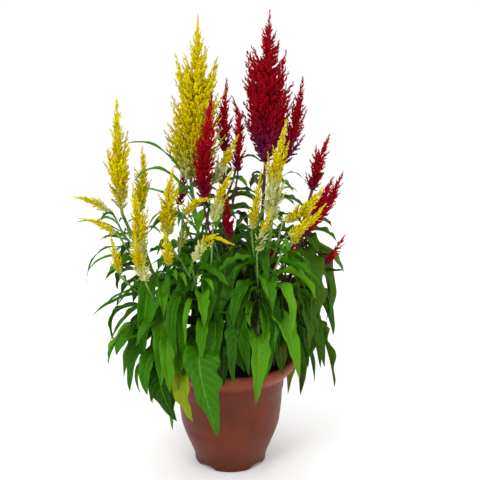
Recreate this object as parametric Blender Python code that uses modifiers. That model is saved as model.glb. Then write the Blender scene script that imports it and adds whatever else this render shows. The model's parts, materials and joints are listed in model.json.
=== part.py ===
"""Plume celosia, seven plants growing together in one plastic flowerpot.

Four plants carry yellow plumes and three carry red ones. The pot stands on four low feet, the soil fills it to
below the rim, and each plant is one leafy, branched stem. Each plume is a tapering core drawn out into florets.
The origin is the middle of the pot's underside, +Z is up and -Y is the front.
"""

import math
import random
from collections import namedtuple

import bmesh
import bpy
from mathutils import Matrix, Vector
from mathutils.bvhtree import BVHTree

MM = 0.001
GAP = 0.3 * MM
CLEARANCE = 0.25 * MM
GOLDEN_ANGLE = math.radians(137.5)
UP = Vector((0, 0, 1))
SIDEWAYS = Vector((0, 1, 0))

# The pot, in millimetres: radius and height of each point of its turned outline
POT_SIDES = 24
UNDERSIDE_RADIUS = 39.5
FLOOR_THICKNESS = 3.5
FLOOR_RISE = 9.5
FOOT_RADIUS = 57.2
FOOT_INNER_RADIUS = 53
INNER_WALL = [(55, 13), (75, 60), (84, 147)]
RIM = [(93, 168), (100, 175), (104.5, 173), (106, 168.5), (103.5, 161), (91.5, 148)]
OUTER_WALL = [(87.2, 147.2), (84.8, 124), (83.6, 122.5), (81, 85), (78, 64), (67, 34), (60, 17), (57.6, 8)]
ARCHES = 4
ARCH_HEIGHT = 7.5
ARCH_RADIUS = 26
ARCH_DEPTH = 14
ARCH_SIDES = 20
ARCH_TURN = math.radians(49)
DRAIN_HOLES = 4
DRAIN_RADIUS = 2.6
DRAIN_CIRCLE = 47
DRAIN_DEPTH = 12
DRAIN_SIDES = 6

# The soil, in millimetres
SOIL_EDGE_HEIGHT = 150
SOIL_MIDDLE_HEIGHT = 156
SOIL_INSET = 0.4
HOLE_FLOOR_HEIGHT = 112
HOLE_TOP_HEIGHT = 166
HOLE_MARGIN = 0.6
HOLE_SIDES = 8

# Stems, in millimetres
STEM_RADIUS = 4.0
STEM_TOP_RADIUS = 2.4
SHOOT_RADIUS = 1.9
SHOOT_TOP_RADIUS = 1.6
NECK = 7
STEM_STEPS = 5
SHOOT_BEND = 0.45
SHOOT_SWAY = 0.14

# Leaves
BROAD_STATIONS = [0.0, 0.17, 0.36, 0.58, 0.8]
MIDDLING_STATIONS = [0.0, 0.2, 0.45, 0.75]
NARROW_STATIONS = [0.0, 0.28, 0.62]
BROAD = 32 * MM
NARROW = 13 * MM
PETIOLE_SHARE = 0.16
PETIOLE_HALF_WIDTH = 1.2 * MM
KEEL_DEPTH = 1.6 * MM
ROOT_SINK = 1.0 * MM
LONGEST_LEAF = 146
SHORTEST_LEAF = 64
WIDEST_LEAF = 44
NARROWEST_LEAF = 14

# Plumes, in millimetres
BIG_PLUME = 18
BIG_PITCH = 15
FLORET_PITCH = 11.5
SIDE_PITCH = 11.5
BIG_SIDE_PITCH = 15
SIDE_GIRTH = 15
SIDE_GIRTH_SHARE = 0.7
CORE_SHARE = 0.52
CORE_FOOT = 0.45
CORE_SWELL = 1.8
CORE_TAPER = 0.55
FLORET_RISE = 1.5
FLORET_SPREAD = (0.8, 1.15)

Plant = namedtuple("Plant", "name stem colour")
Head = namedtuple("Head", "name plant fork foot tip girth colour bow spires", defaults=((0, 0, 0), ()))
Leaf = namedtuple("Leaf", "plant height middle tip width")
Foliage = namedtuple("Foliage", "plant lowest highest count")

# Each plant's main stem, from the soil to the foot of its highest plume
PLANTS = [
    Plant("left_yellow", [(-52, -18, 160), (-72, -24, 215), (-108, -32, 300), (-145, -36, 375)], "yellow"),
    Plant("middle_yellow", [(-30, 16, 160), (-36, 18, 240), (-48, 20, 350), (-58, 20, 430)], "yellow"),
    Plant("front_yellow", [(-16, -50, 160), (-26, -52, 220), (-52, -52, 300), (-82, -50, 352)], "yellow"),
    Plant("right_yellow", [(34, -46, 160), (42, -50, 230), (52, -52, 310), (60, -52, 375)], "yellow"),
    Plant("back_red", [(42, 36, 160), (44, 38, 250), (50, 40, 370), (54, 42, 450)], "red"),
    Plant("middle_red", [(-4, 48, 160), (-8, 46, 260), (-10, 38, 380), (-9, 34, 470)], "red"),
    Plant("right_red", [(66, 2, 160), (76, 8, 220), (98, 16, 310), (120, 23, 405)], "red"),
]

# Each plume: its plant, the height where its shoot leaves the main stem (None at the stem's own top), where it
# starts and ends, its greatest half width, how far it bows, and the smaller spires that stand out of it as
# (share of the way up, direction in degrees, reach, rise)
HEADS = [
    Head(
        "plume_yellow_tall", "middle_yellow", None, (-60, 20, 458), (-47, 30, 699), 21, "yellow", (2, 0, 0),
        (
            (0.08, 197, 33, 84), (0.26, 220, 27, 82), (0.42, 184, 34, 84), (0.18, 352, 33, 84),
            (0.42, 2, 30, 80), (0.12, 75, 30, 86), (0.32, 112, 28, 84), (0.52, 58, 21, 72),
            (0.14, 292, 28, 82), (0.38, 275, 25, 84),
        ),
    ),
    Head("plume_yellow_slender", "middle_yellow", 322, (-26, 2, 450), (14, -20, 524), 11, "yellow"),
    Head(
        "plume_yellow_left_tall", "left_yellow", None, (-160, -36, 416), (-162, -40, 577), 16, "yellow", (-2, 0, 0),
        ((0.22, 198, 15, 52), (0.37, 16, 17, 56), (0.45, 282, 14, 48)),
    ),
    Head(
        "plume_yellow_left_inner", "left_yellow", 318, (-136, -18, 408), (-130, -14, 507), 12, "yellow", (3, 0, 0),
    ),
    Head(
        "plume_yellow_left_front", "left_yellow", 262, (-130, -72, 346), (-137, -78, 461), 14, "yellow", (3, 0, 0),
        ((0.34, 10, 15, 42),),
    ),
    Head(
        "plume_yellow_left_reaching", "left_yellow", 345, (-176, -62, 418), (-226, -66, 438), 9, "yellow", (0, 0, 5),
    ),
    Head(
        "plume_yellow_left_spreading", "left_yellow", 322, (-164, -84, 388), (-213, -94, 412), 8, "yellow", (0, 0, 5),
    ),
    Head("plume_yellow_left_low", "left_yellow", 268, (-158, -84, 330), (-169, -88, 386), 9, "yellow"),
    Head(
        "plume_yellow_left_small", "left_yellow", 240, (-120, -98, 322), (-132, -104, 392), 11, "yellow", (-3, 0, 0),
    ),
    Head(
        "plume_yellow_front_tall", "front_yellow", None, (-92, -50, 380), (-81, -55, 481), 14, "yellow", (-2, 0, 0),
        ((0.36, 350, 14, 38),),
    ),
    Head("plume_yellow_front_low", "front_yellow", 290, (-86, -82, 340), (-92, -90, 396), 10, "yellow"),
    Head("plume_yellow_front_inner", "front_yellow", 316, (-76, -26, 356), (-62, -26, 402), 8, "yellow"),
    Head(
        "plume_yellow_front_arching", "front_yellow", 264, (-50, -92, 350), (8, -116, 378), 9, "yellow", (-8, 0, 22),
    ),
    Head(
        "plume_yellow_front_level", "front_yellow", 342, (-64, -60, 412), (-22, -88, 438), 9, "yellow", (-4, 0, 8),
    ),
    Head(
        "plume_yellow_front_slender", "front_yellow", 250, (-22, -62, 402), (6, -74, 480), 11, "yellow", (-3, 0, 4),
    ),
    Head(
        "plume_yellow_right_tall", "right_yellow", None, (62, -52, 402), (82, -60, 549), 15, "yellow", (-4, 0, 0),
        ((0.36, 190, 15, 48), (0.48, 330, 14, 46)),
    ),
    Head("plume_yellow_right_slender", "right_yellow", 280, (34, -48, 388), (47, -50, 477), 9, "yellow"),
    Head(
        "plume_yellow_right_reaching", "right_yellow", 322, (82, -76, 404), (133, -95, 458), 12, "yellow", (6, 0, -2),
    ),
    Head(
        "plume_yellow_right_spreading", "right_yellow", 302, (86, -98, 388), (134, -122, 438), 9, "yellow",
        (4, 0, -2),
    ),
    Head("plume_yellow_right_low", "right_yellow", 292, (92, -66, 370), (118, -74, 422), 9, "yellow"),
    Head("plume_yellow_right_small", "right_yellow", 262, (42, -80, 362), (60, -90, 428), 9, "yellow"),
    Head(
        "plume_red_tall", "back_red", None, (55, 42, 478), (61, 50, 708), 20, "red", (-2, 0, 0),
        (
            (0.14, 190, 27, 88), (0.34, 172, 31, 90), (0.22, 5, 28, 88), (0.38, 350, 31, 84),
            (0.20, 100, 28, 88), (0.42, 76, 25, 78), (0.18, 262, 28, 88), (0.42, 280, 25, 80),
        ),
    ),
    Head(
        "plume_red_right_tall", "back_red", 336, (84, 52, 474), (114, 60, 609), 14, "red", (4, 0, 0),
        ((0.32, 20, 14, 44), (0.44, 200, 13, 44)),
    ),
    Head(
        "plume_red_middle_tall", "middle_red", 298, (-38, -22, 424), (-25, -28, 586), 15, "red", (-4, 0, 0),
        ((0.32, 185, 13, 50), (0.44, 10, 13, 50)),
    ),
    Head("plume_red_middle_back", "middle_red", None, (-8, 33, 495), (-4, 30, 607), 12, "red", (-3, 0, 0)),
    Head("plume_red_middle_small", "middle_red", 412, (16, 36, 510), (4, 26, 579), 9, "red", (4, 0, 0)),
    Head("plume_red_middle_low", "middle_red", 366, (12, 14, 466), (14, 12, 556), 10, "red"),
    Head("plume_red_inner", "middle_red", 262, (0, -38, 374), (-6, -46, 441), 10, "red"),
    Head("plume_red_left_back", "middle_red", 282, (-82, 52, 408), (-69, 56, 480), 9, "red"),
    Head(
        "plume_red_right_upper", "right_red", None, (128, 25, 436), (154, 30, 522), 13, "red", (-3, 0, 0),
        ((0.4, 190, 12, 36),),
    ),
    Head(
        "plume_red_right_middle", "right_red", 340, (124, -8, 384), (157, -14, 462), 12, "red", (-2, 0, 2),
        ((0.4, 30, 12, 36),),
    ),
    Head("plume_red_right_outer", "right_red", 322, (136, 44, 386), (180, 52, 462), 12, "red", (3, 0, -2)),
    Head("plume_red_right_front", "right_red", 258, (92, -20, 366), (156, -26, 424), 12, "red", (3, 0, -3)),
    Head("plume_red_far_right", "right_red", 252, (146, -22, 328), (176, -24, 376), 8, "red"),
    Head("plume_red_right_low", "right_red", 238, (84, -44, 350), (108, -50, 378), 7, "red"),
    Head("plume_red_right_small", "right_red", 224, (66, -36, 326), (62, -46, 364), 7, "red"),
]

# The leaves that show from the front: plant, height of the root on the main stem, a point half way along, the tip,
# and the greatest width
FRONT_LEAVES = [
    Leaf("front_yellow", 212, (-43, -126, 212), (-16, -143, 104), 56),
    Leaf("left_yellow", 226, (-88, -112, 238), (-83, -140, 168), 28),
    Leaf("front_yellow", 288, (-78, -110, 290), (-75, -134, 223), 18),
    Leaf("front_yellow", 312, (-86, -88, 324), (-82, -108, 286), 8),
    Leaf("front_yellow", 254, (-62, -106, 266), (-64, -128, 204), 18),
    Leaf("front_yellow", 270, (-52, -98, 278), (-54, -116, 223), 10),
    Leaf("front_yellow", 238, (-38, -104, 248), (-38, -126, 208), 20),
    Leaf("right_yellow", 244, (16, -108, 260), (8, -138, 176), 30),
    Leaf("right_yellow", 300, (20, -98, 308), (6, -125, 261), 22),
    Leaf("right_yellow", 276, (30, -92, 282), (30, -113, 258), 12),
    Leaf("right_yellow", 218, (43, -108, 230), (38, -136, 150), 32),
    Leaf("right_yellow", 332, (86, -84, 344), (132, -96, 314), 22),
    Leaf("right_yellow", 292, (80, -92, 304), (88, -112, 239), 22),
    Leaf("right_yellow", 350, (52, -78, 352), (57, -97, 309), 13),
    Leaf("right_yellow", 312, (48, -76, 320), (58, -88, 290), 11),
    Leaf("right_red", 222, (74, -78, 232), (77, -116, 186), 28),
    Leaf("right_red", 262, (72, -64, 280), (82, -86, 242), 18),
    Leaf("right_red", 268, (118, -20, 276), (110, -46, 204), 42),
    Leaf("right_red", 226, (124, -26, 222), (108, -56, 178), 20),
    Leaf("right_red", 292, (146, 8, 274), (152, 4, 230), 12),
    Leaf("right_red", 310, (146, -4, 312), (174, -16, 317), 9),
    Leaf("left_yellow", 244, (-106, -88, 258), (-134, -112, 228), 27),
    Leaf("left_yellow", 222, (-138, -86, 236), (-163, -106, 212), 22),
    Leaf("left_yellow", 252, (-150, -74, 240), (-179, -92, 192), 21),
    Leaf("left_yellow", 270, (-137, -70, 272), (-175, -92, 228), 16),
    Leaf("left_yellow", 296, (-132, -70, 308), (-163, -90, 282), 10),
    Leaf("left_yellow", 286, (-144, -64, 298), (-182, -80, 281), 10),
    Leaf("left_yellow", 280, (-154, -52, 286), (-200, -84, 266), 9),
    Leaf("left_yellow", 338, (-180, -42, 344), (-209, -60, 326), 8),
    Leaf("left_yellow", 350, (-192, -34, 352), (-215, -48, 303), 8),
    Leaf("left_yellow", 360, (-175, -22, 370), (-196, -24, 366), 7),
    Leaf("left_yellow", 306, (-160, -6, 314), (-173, -16, 286), 20),
    Leaf("left_yellow", 292, (-148, -18, 300), (-173, -34, 262), 22),
    Leaf("left_yellow", 256, (-168, -30, 258), (-176, -44, 210), 14),
    Leaf("left_yellow", 206, (-114, -96, 208), (-118, -124, 158), 24),
    Leaf("left_yellow", 196, (-126, -84, 196), (-131, -100, 151), 9),
    Leaf("left_yellow", 182, (-100, -102, 186), (-76, -124, 118), 36),
    Leaf("front_yellow", 184, (-64, -112, 190), (-52, -130, 120), 34),
    Leaf("middle_yellow", 318, (-8, -40, 336), (-22, -84, 252), 38),
    Leaf("front_yellow", 204, (-10, -98, 232), (-8, -124, 172), 24),
    Leaf("front_yellow", 244, (-20, -86, 260), (-26, -108, 214), 26),
    Leaf("front_yellow", 300, (-34, -78, 318), (-22, -96, 304), 8),
    Leaf("right_yellow", 236, (56, -74, 248), (58, -100, 196), 16),
    Leaf("right_red", 218, (98, -50, 230), (99, -78, 200), 16),
    Leaf("front_yellow", 222, (-72, -92, 226), (-66, -118, 182), 24),
    Leaf("middle_yellow", 424, (-98, -2, 496), (-149, -30, 512), 8),
    Leaf("middle_yellow", 410, (-100, -12, 470), (-141, -40, 456), 8),
    Leaf("middle_yellow", 396, (-98, -8, 438), (-136, -24, 446), 7),
    Leaf("middle_yellow", 372, (-92, -4, 408), (-124, -18, 384), 10),
    Leaf("left_yellow", 368, (-186, -52, 396), (-222, -60, 400), 7),
    Leaf("front_yellow", 262, (-8, -70, 276), (-4, -92, 222), 32),
    Leaf("front_yellow", 232, (-52, -86, 244), (-54, -106, 190), 30),
    Leaf("right_yellow", 262, (54, -70, 270), (64, -90, 216), 28),
    Leaf("right_yellow", 226, (8, -76, 238), (22, -104, 186), 28),
    Leaf("right_yellow", 322, (22, -68, 336), (4, -88, 296), 24),
    Leaf("middle_yellow", 336, (-66, -22, 344), (-70, -62, 300), 30),
    Leaf("middle_red", 352, (26, -2, 366), (34, -44, 324), 28),
    Leaf("left_yellow", 252, (-104, -64, 268), (-110, -92, 218), 28),
    Leaf("right_red", 330, (96, -26, 346), (104, -58, 300), 30),
    Leaf("back_red", 300, (98, 14, 320), (128, -8, 262), 32),
]

# The other leaves follow the plants' own spiral
FOLIAGE = [
    Foliage("left_yellow", 172, 352, 11),
    Foliage("middle_yellow", 172, 432, 15),
    Foliage("front_yellow", 262, 330, 3),
    Foliage("right_yellow", 184, 366, 8),
    Foliage("back_red", 172, 446, 16),
    Foliage("middle_red", 172, 452, 16),
    Foliage("right_red", 172, 392, 15),
]

COLOURS = {
    "pot": (0.235, 0.045, 0.022),
    "soil": (0.018, 0.012, 0.008),
    "green": (0.075, 0.22, 0.012),
    "olive": (0.065, 0.13, 0.015),
    "yellow": (0.80, 0.52, 0.004),
    "red": (0.32, 0.004, 0.012),
}


def material(name, colour, roughness):
    made = bpy.data.materials.new(name)
    made.use_nodes = True
    shader = made.node_tree.nodes["Principled BSDF"]
    shader.inputs["Base Color"].default_value = (*colour, 1)
    shader.inputs["Roughness"].default_value = roughness
    shader.inputs["Metallic"].default_value = 0
    return made


def add_object(name, mesh, collection, finish):
    made = bpy.data.objects.new(name, mesh)
    collection.objects.link(made)
    mesh.materials.clear()
    mesh.materials.append(finish)
    return made


def evaluated_mesh(made):
    """A copy of the object's mesh with its modifiers, or its curve's bevel, applied."""
    bpy.context.view_layer.update()
    graph = bpy.context.evaluated_depsgraph_get()
    return bpy.data.meshes.new_from_object(made.evaluated_get(graph))


def mesh_from(shape, name):
    bmesh.ops.recalc_face_normals(shape, faces=shape.faces)
    mesh = bpy.data.meshes.new(name)
    shape.to_mesh(mesh)
    shape.free()
    return mesh


def fuse(meshes, name):
    """One closed mesh that joins all of these, where they overlap."""
    first = bpy.data.objects.new(name, meshes[0])
    bpy.context.scene.collection.objects.link(first)
    joined = bpy.data.collections.new("joined to " + name)
    bpy.context.scene.collection.children.link(joined)
    for mesh in meshes[1:]:
        joined.objects.link(bpy.data.objects.new(mesh.name, mesh))
    union = first.modifiers.new("union", "BOOLEAN")
    union.operation = "UNION"
    union.operand_type = "COLLECTION"
    union.collection = joined
    union.solver = "MANIFOLD"
    result = evaluated_mesh(first)
    result.name = name
    for used in [first, *joined.objects]:
        bpy.data.objects.remove(used)
    bpy.data.collections.remove(joined)
    fill_hollows(result)
    return result


def fill_hollows(mesh):
    """Keeps the outer skin alone, without the small hollows that the joining sealed in."""
    shape = bmesh.new()
    shape.from_mesh(mesh)
    unseen = set(shape.verts)
    skins = []
    while unseen:
        skin = set()
        edge_of_search = [unseen.pop()]
        while edge_of_search:
            vertex = edge_of_search.pop()
            skin.add(vertex)
            for edge in vertex.link_edges:
                neighbour = edge.other_vert(vertex)
                if neighbour in unseen:
                    unseen.remove(neighbour)
                    edge_of_search.append(neighbour)
        skins.append(skin)
    skins.sort(key=len)
    for skin in skins[:-1]:
        bmesh.ops.delete(shape, geom=list(skin), context="VERTS")
    shape.to_mesh(mesh)
    shape.free()


def turned(name, profile, collection, finish):
    """A solid of revolution about Z. The profile runs up the inside, over the top and down the outside."""
    shape = bmesh.new()
    corners = [shape.verts.new((radius * MM, 0, height * MM)) for radius, height in profile]
    for start, end in zip(corners, corners[1:]):
        shape.edges.new((start, end))
    mesh = bpy.data.meshes.new(name)
    shape.to_mesh(mesh)
    shape.free()
    made = add_object(name, mesh, collection, finish)
    screw = made.modifiers.new("turn", "SCREW")
    screw.steps = POT_SIDES
    screw.render_steps = POT_SIDES
    screw.use_merge_vertices = True
    screw.merge_threshold = 0.00001
    return made


def cut(target, cutters, collection_name):
    """Subtracts the cutters, kept out of sight in a collection of their own."""
    collection = bpy.data.collections.new(collection_name)
    bpy.context.scene.collection.children.link(collection)
    for number, mesh in enumerate(cutters):
        cutter = bpy.data.objects.new(f"{collection_name} {number}", mesh)
        cutter.hide_render = True
        cutter.display_type = "WIRE"
        collection.objects.link(cutter)
    boolean = target.modifiers.new("cut", "BOOLEAN")
    boolean.operation = "DIFFERENCE"
    boolean.operand_type = "COLLECTION"
    boolean.collection = collection


def cylinder_mesh(name, radius, depth, sides, matrix):
    shape = bmesh.new()
    bmesh.ops.create_cone(
        shape,
        cap_ends=True,
        segments=sides,
        radius1=radius,
        radius2=radius,
        depth=depth,
        matrix=matrix,
    )
    return mesh_from(shape, name)


def make_pot(collection):
    """A turned plastic pot with a rolled rim, four low feet parted by arches, and drain holes in its raised floor."""
    inside = [(0, FLOOR_THICKNESS), (UNDERSIDE_RADIUS - FLOOR_THICKNESS, FLOOR_THICKNESS)]
    inside.append((UNDERSIDE_RADIUS + 1, FLOOR_RISE + FLOOR_THICKNESS))
    underside = [
        (FOOT_RADIUS, 0),
        (FOOT_INNER_RADIUS, 0),
        (FOOT_INNER_RADIUS - 1, FLOOR_RISE),
        (UNDERSIDE_RADIUS + 1.5, FLOOR_RISE),
        (UNDERSIDE_RADIUS, 0),
        (0, 0),
    ]
    profile = inside + INNER_WALL + RIM + OUTER_WALL + underside
    finish = material("red-brown plastic", COLOURS["pot"], 0.45)
    pot = turned("pot", profile, collection, finish)
    cutters = []
    for arch in range(ARCHES):
        outward = Matrix.Rotation(ARCH_TURN + arch * math.tau / ARCHES, 4, "Z")
        lying = Matrix.Translation((FOOT_RADIUS * MM, 0, (ARCH_HEIGHT - ARCH_RADIUS) * MM))
        along = Matrix.Rotation(math.pi / 2, 4, "Y")
        place = outward @ lying @ along
        cutters.append(cylinder_mesh("arch", ARCH_RADIUS * MM, ARCH_DEPTH * MM, ARCH_SIDES, place))
    for hole in range(DRAIN_HOLES):
        outward = Matrix.Rotation((hole + 0.5) * math.tau / DRAIN_HOLES, 4, "Z")
        place = outward @ Matrix.Translation((DRAIN_CIRCLE * MM, 0, FLOOR_RISE * MM))
        cutters.append(cylinder_mesh("drain hole", DRAIN_RADIUS * MM, DRAIN_DEPTH * MM, DRAIN_SIDES, place))
    cut(pot, cutters, "pot cutters")
    return pot


def make_soil(collection):
    """The soil that fills the pot, with a plain hole for each stem."""
    rim_radius, rim_height = INNER_WALL[-1]
    floor_radius, floor_height = INNER_WALL[0]
    profile = [
        (0, SOIL_MIDDLE_HEIGHT),
        (rim_radius - SOIL_INSET, SOIL_EDGE_HEIGHT),
        (rim_radius - SOIL_INSET, rim_height - 1),
        *[(radius - SOIL_INSET, height) for radius, height in reversed(INNER_WALL[1:-1])],
        (floor_radius - SOIL_INSET, floor_height + SOIL_INSET),
        (UNDERSIDE_RADIUS + 1 - SOIL_INSET, FLOOR_RISE + FLOOR_THICKNESS + SOIL_INSET),
        (UNDERSIDE_RADIUS - FLOOR_THICKNESS - SOIL_INSET, FLOOR_THICKNESS + SOIL_INSET),
        (0, FLOOR_THICKNESS + SOIL_INSET),
    ]
    soil = turned("soil", profile, collection, material("potting soil", COLOURS["soil"], 0.95))
    holes = []
    radius = (STEM_RADIUS + HOLE_MARGIN) * MM
    depth = (HOLE_TOP_HEIGHT - HOLE_FLOOR_HEIGHT) * MM
    for plant in PLANTS:
        x, y = plant.stem[0][:2]
        place = Matrix.Translation((x * MM, y * MM, (HOLE_TOP_HEIGHT + HOLE_FLOOR_HEIGHT) / 2 * MM))
        holes.append(cylinder_mesh("stem hole", radius, depth, HOLE_SIDES, place))
    cut(soil, holes, "stem holes")
    return soil


class Route:
    """A smooth line through a few points, read by the share of the way along it."""

    def __init__(self, points, samples=24):
        self.places = smooth_line([Vector(point) for point in points], samples)
        self.ways = [0.0]
        for start, end in zip(self.places, self.places[1:]):
            self.ways.append(self.ways[-1] + (end - start).length)
        self.length = self.ways[-1]

    def index(self, share):
        way = min(max(share, 0.0), 1.0) * self.length
        last = len(self.places) - 2
        for step in range(last):
            if self.ways[step + 1] >= way:
                return step, way
        return last, way

    def at(self, share):
        step, way = self.index(share)
        span = self.ways[step + 1] - self.ways[step]
        return self.places[step].lerp(self.places[step + 1], (way - self.ways[step]) / span)

    def heading(self, share):
        return (self.at(min(share + 0.02, 1.0)) - self.at(max(share - 0.02, 0.0))).normalized()

    def at_height(self, height):
        """The first place on the way up that is this high."""
        for start, end in zip(self.places, self.places[1:]):
            if start.z <= height <= end.z:
                return start.lerp(end, (height - start.z) / (end.z - start.z))
        return self.places[-1]


def smooth_line(points, samples):
    """Points on a Catmull-Rom curve through the given ones."""
    ends = [2 * points[0] - points[1], *points, 2 * points[-1] - points[-2]]
    spans = len(points) - 1
    line = []
    for sample in range(samples + 1):
        at = sample / samples * spans
        span = min(int(at), spans - 1)
        t = at - span
        a, b, c, d = ends[span : span + 4]
        line.append(
            0.5 * (2 * b + (c - a) * t + (2 * a - 5 * b + 4 * c - d) * t**2 + (3 * b - a - 3 * c + d) * t**3)
        )
    return line


def plume_route(head):
    foot = Vector(head.foot) * MM
    tip = Vector(head.tip) * MM
    middle = foot.lerp(tip, 0.5) + Vector(head.bow) * MM
    return Route([foot, middle, tip])


def tube(name, points, radii, resolution):
    """A closed tube along the points, from a curve with a bevel."""
    curve = bpy.data.curves.new(name, "CURVE")
    curve.dimensions = "3D"
    curve.bevel_depth = MM
    curve.bevel_resolution = resolution
    curve.use_fill_caps = True
    spline = curve.splines.new("POLY")
    spline.points.add(len(points) - 1)
    for corner, place, radius in zip(spline.points, points, radii):
        corner.co = (*place, 1)
        corner.radius = radius
    made = bpy.data.objects.new(name, curve)
    bpy.context.scene.collection.objects.link(made)
    mesh = evaluated_mesh(made)
    bpy.data.objects.remove(made)
    shape = bmesh.new()
    shape.from_mesh(mesh)
    bmesh.ops.remove_doubles(shape, verts=shape.verts, dist=0.00001)
    bpy.data.meshes.remove(mesh)
    return mesh_from(shape, name)


def top_plume(plant):
    return next(head for head in HEADS if head.plant == plant.name and head.fork is None)


def stem_route(plant):
    """The main stem's line, along its points and up to its own top plume."""
    end, neck = below_plume(top_plume(plant))
    return Route([*[Vector(point) * MM for point in plant.stem], neck, end], 48)


def below_plume(head):
    """The stem's last point, face to face with the plume's foot, and the point where its straight neck begins."""
    route = plume_route(head)
    heading = route.heading(0)
    end = route.at(0) - heading * GAP
    return end, end - heading * NECK * MM


def stem_mesh(plant, route):
    """The main stem, from its buried end, upright through the soil, and then along its route."""
    shares = [step / STEM_STEPS for step in range(STEM_STEPS)]
    points = [route.at(share) for share in shares]
    buried = Vector((points[0].x, points[0].y, HOLE_FLOOR_HEIGHT * MM + GAP))
    end, neck = below_plume(top_plume(plant))
    radii = [STEM_RADIUS + (STEM_TOP_RADIUS - STEM_RADIUS) * share for share in shares]
    points = [buried, *points, neck, end]
    radii = [STEM_RADIUS, *radii, STEM_TOP_RADIUS, STEM_TOP_RADIUS]
    return tube(plant.name, points, radii, 1)


def shoot_mesh(head, main):
    """A side shoot from the main stem to the foot of its plume."""
    start = main.at_height(head.fork * MM)
    end, neck = below_plume(head)
    reach = neck - start
    rising = start + reach * SHOOT_BEND + Vector((reach.x, reach.y, 0)) * SHOOT_SWAY
    points = [start, rising, neck, end]
    radii = [SHOOT_RADIUS, SHOOT_RADIUS, SHOOT_TOP_RADIUS, SHOOT_TOP_RADIUS]
    return tube("shoot", points, radii, 0)


class Solid:
    """A closed mesh with the box and the tree that tell whether it crosses another."""

    def __init__(self, mesh):
        self.mesh = mesh
        places = [vertex.co.copy() for vertex in mesh.vertices]
        faces = [tuple(face.vertices) for face in mesh.polygons]
        self.tree = BVHTree.FromPolygons(places, faces, epsilon=CLEARANCE)
        self.low = [min(place[axis] for place in places) for axis in range(3)]
        self.high = [max(place[axis] for place in places) for axis in range(3)]

    def crosses(self, other):
        for axis in range(3):
            if self.low[axis] > other.high[axis] or other.low[axis] > self.high[axis]:
                return False
        return bool(self.tree.overlap(other.tree))


def ringed_prism(sides, rings):
    """A prism of unit radius and height, cut into rings, as a bmesh."""
    shape = bmesh.new()
    bmesh.ops.create_cone(
        shape,
        cap_ends=True,
        segments=sides,
        radius1=1,
        radius2=1,
        depth=1,
        matrix=Matrix.Translation((0, 0, 0.5)),
    )
    upright = [edge for edge in shape.edges if abs(edge.verts[0].co.z - edge.verts[1].co.z) > 0.5]
    if rings > 1:
        bmesh.ops.subdivide_edges(shape, edges=upright, cuts=rings - 1)
    return shape


def drawn_to_a_point(shape, top, place):
    bmesh.ops.pointmerge(shape, verts=top, merge_co=place)


def spire_mesh(route, girth, sides, pitch, bare, chance):
    """A tapering core whose rings turn by half a side each, with florets drawn out and up above the bare rings."""
    rings = max(3, round(route.length / MM / pitch))
    shape = ringed_prism(sides, rings)
    step = math.tau / sides

    def core(share):
        swell = min(1.0, CORE_FOOT + CORE_SWELL * share)
        return girth * MM * CORE_SHARE * swell * max(1 - share, 0.0) ** CORE_TAPER

    def outward(share, angle):
        heading = route.heading(share)
        across = heading.cross(SIDEWAYS).normalized()
        return across * math.cos(angle) + heading.cross(across) * math.sin(angle)

    rung = {vertex: round(vertex.co.z * rings) for vertex in shape.verts}
    turn = {vertex: math.atan2(vertex.co.y, vertex.co.x) + rung[vertex] * step / 2 for vertex in shape.verts}
    for vertex in shape.verts:
        share = rung[vertex] / rings
        vertex.co = route.at(share) + outward(share, turn[vertex]) * core(share)
    bases = []
    for face in list(shape.faces):
        lower = min(rung[vertex] for vertex in face.verts)
        if not bare <= lower < max(rung[vertex] for vertex in face.verts) < rings:
            continue
        first, second = [vertex for vertex in face.verts if rung[vertex] == lower]
        if math.remainder(turn[second] - turn[first], math.tau) < 0:
            first, second = second, first
        above = [vertex for vertex in face.verts if rung[vertex] > lower]
        nearer = min(above, key=lambda vertex: abs(math.remainder(turn[vertex] - turn[first] - step / 2, math.tau)))
        halves = [face, bmesh.utils.face_split(face, second, nearer)[0]]
        base = next(half for half in halves if first in half.verts)
        bases.append((base, (lower + 1 / 3) / rings, turn[first] + step / 2))
    drawn_to_a_point(shape, [vertex for vertex in shape.verts if rung[vertex] == rings], route.at(1))
    for base, share, angle in bases:
        vertex = bmesh.ops.poke(shape, faces=[base])["verts"][0]
        size = girth * MM * (1 - CORE_SHARE) * (0.6 + 0.4 * math.sin(math.pi * min(share + 0.25, 1)))
        size *= chance.uniform(*FLORET_SPREAD)
        vertex.co = route.at(share) + outward(share, angle) * (core(share) + size)
        vertex.co += route.heading(share) * size * FLORET_RISE
    return mesh_from(shape, "spire")


def side_route(main, spire):
    """The line of a smaller spire that leaves the plume's axis outwards and turns up."""
    share, degrees, reach, rise = spire
    start = main.at(share)
    turn = math.radians(degrees)
    aside = Vector((math.cos(turn), math.sin(turn), 0)) * reach * MM
    up = main.heading(share) * rise * MM
    return Route([start, start + aside * 0.62 + up * 0.45, start + aside + up], 12)


def plume_mesh(head):
    """The whole plume: the main spire and those that stand out of it, fused."""
    chance = random.Random(head.name)
    main = plume_route(head)
    if head.girth > BIG_PLUME:
        meshes = [spire_mesh(main, head.girth, 6, BIG_PITCH, 0, chance)]
    else:
        meshes = [spire_mesh(main, head.girth, 5, FLORET_PITCH, 0, chance)]
    for spire in head.spires:
        route = side_route(main, spire)
        girth = min(SIDE_GIRTH, head.girth * SIDE_GIRTH_SHARE)
        pitch, bare = (BIG_SIDE_PITCH, 2) if head.girth > BIG_PLUME else (SIDE_PITCH, 1)
        meshes.append(spire_mesh(route, girth, 3, pitch, bare, chance))
    if len(meshes) == 1:
        return meshes[0]
    return fuse(meshes, head.name)


def outline(share):
    """The half width of a leaf, as a share of its greatest, from its root to its tip."""
    along = (share - PETIOLE_SHARE) / (1 - PETIOLE_SHARE)
    if along <= 0 or along >= 1:
        return 0.0
    return 2.72 * along**0.62 * (1 - along) ** 0.85


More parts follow.
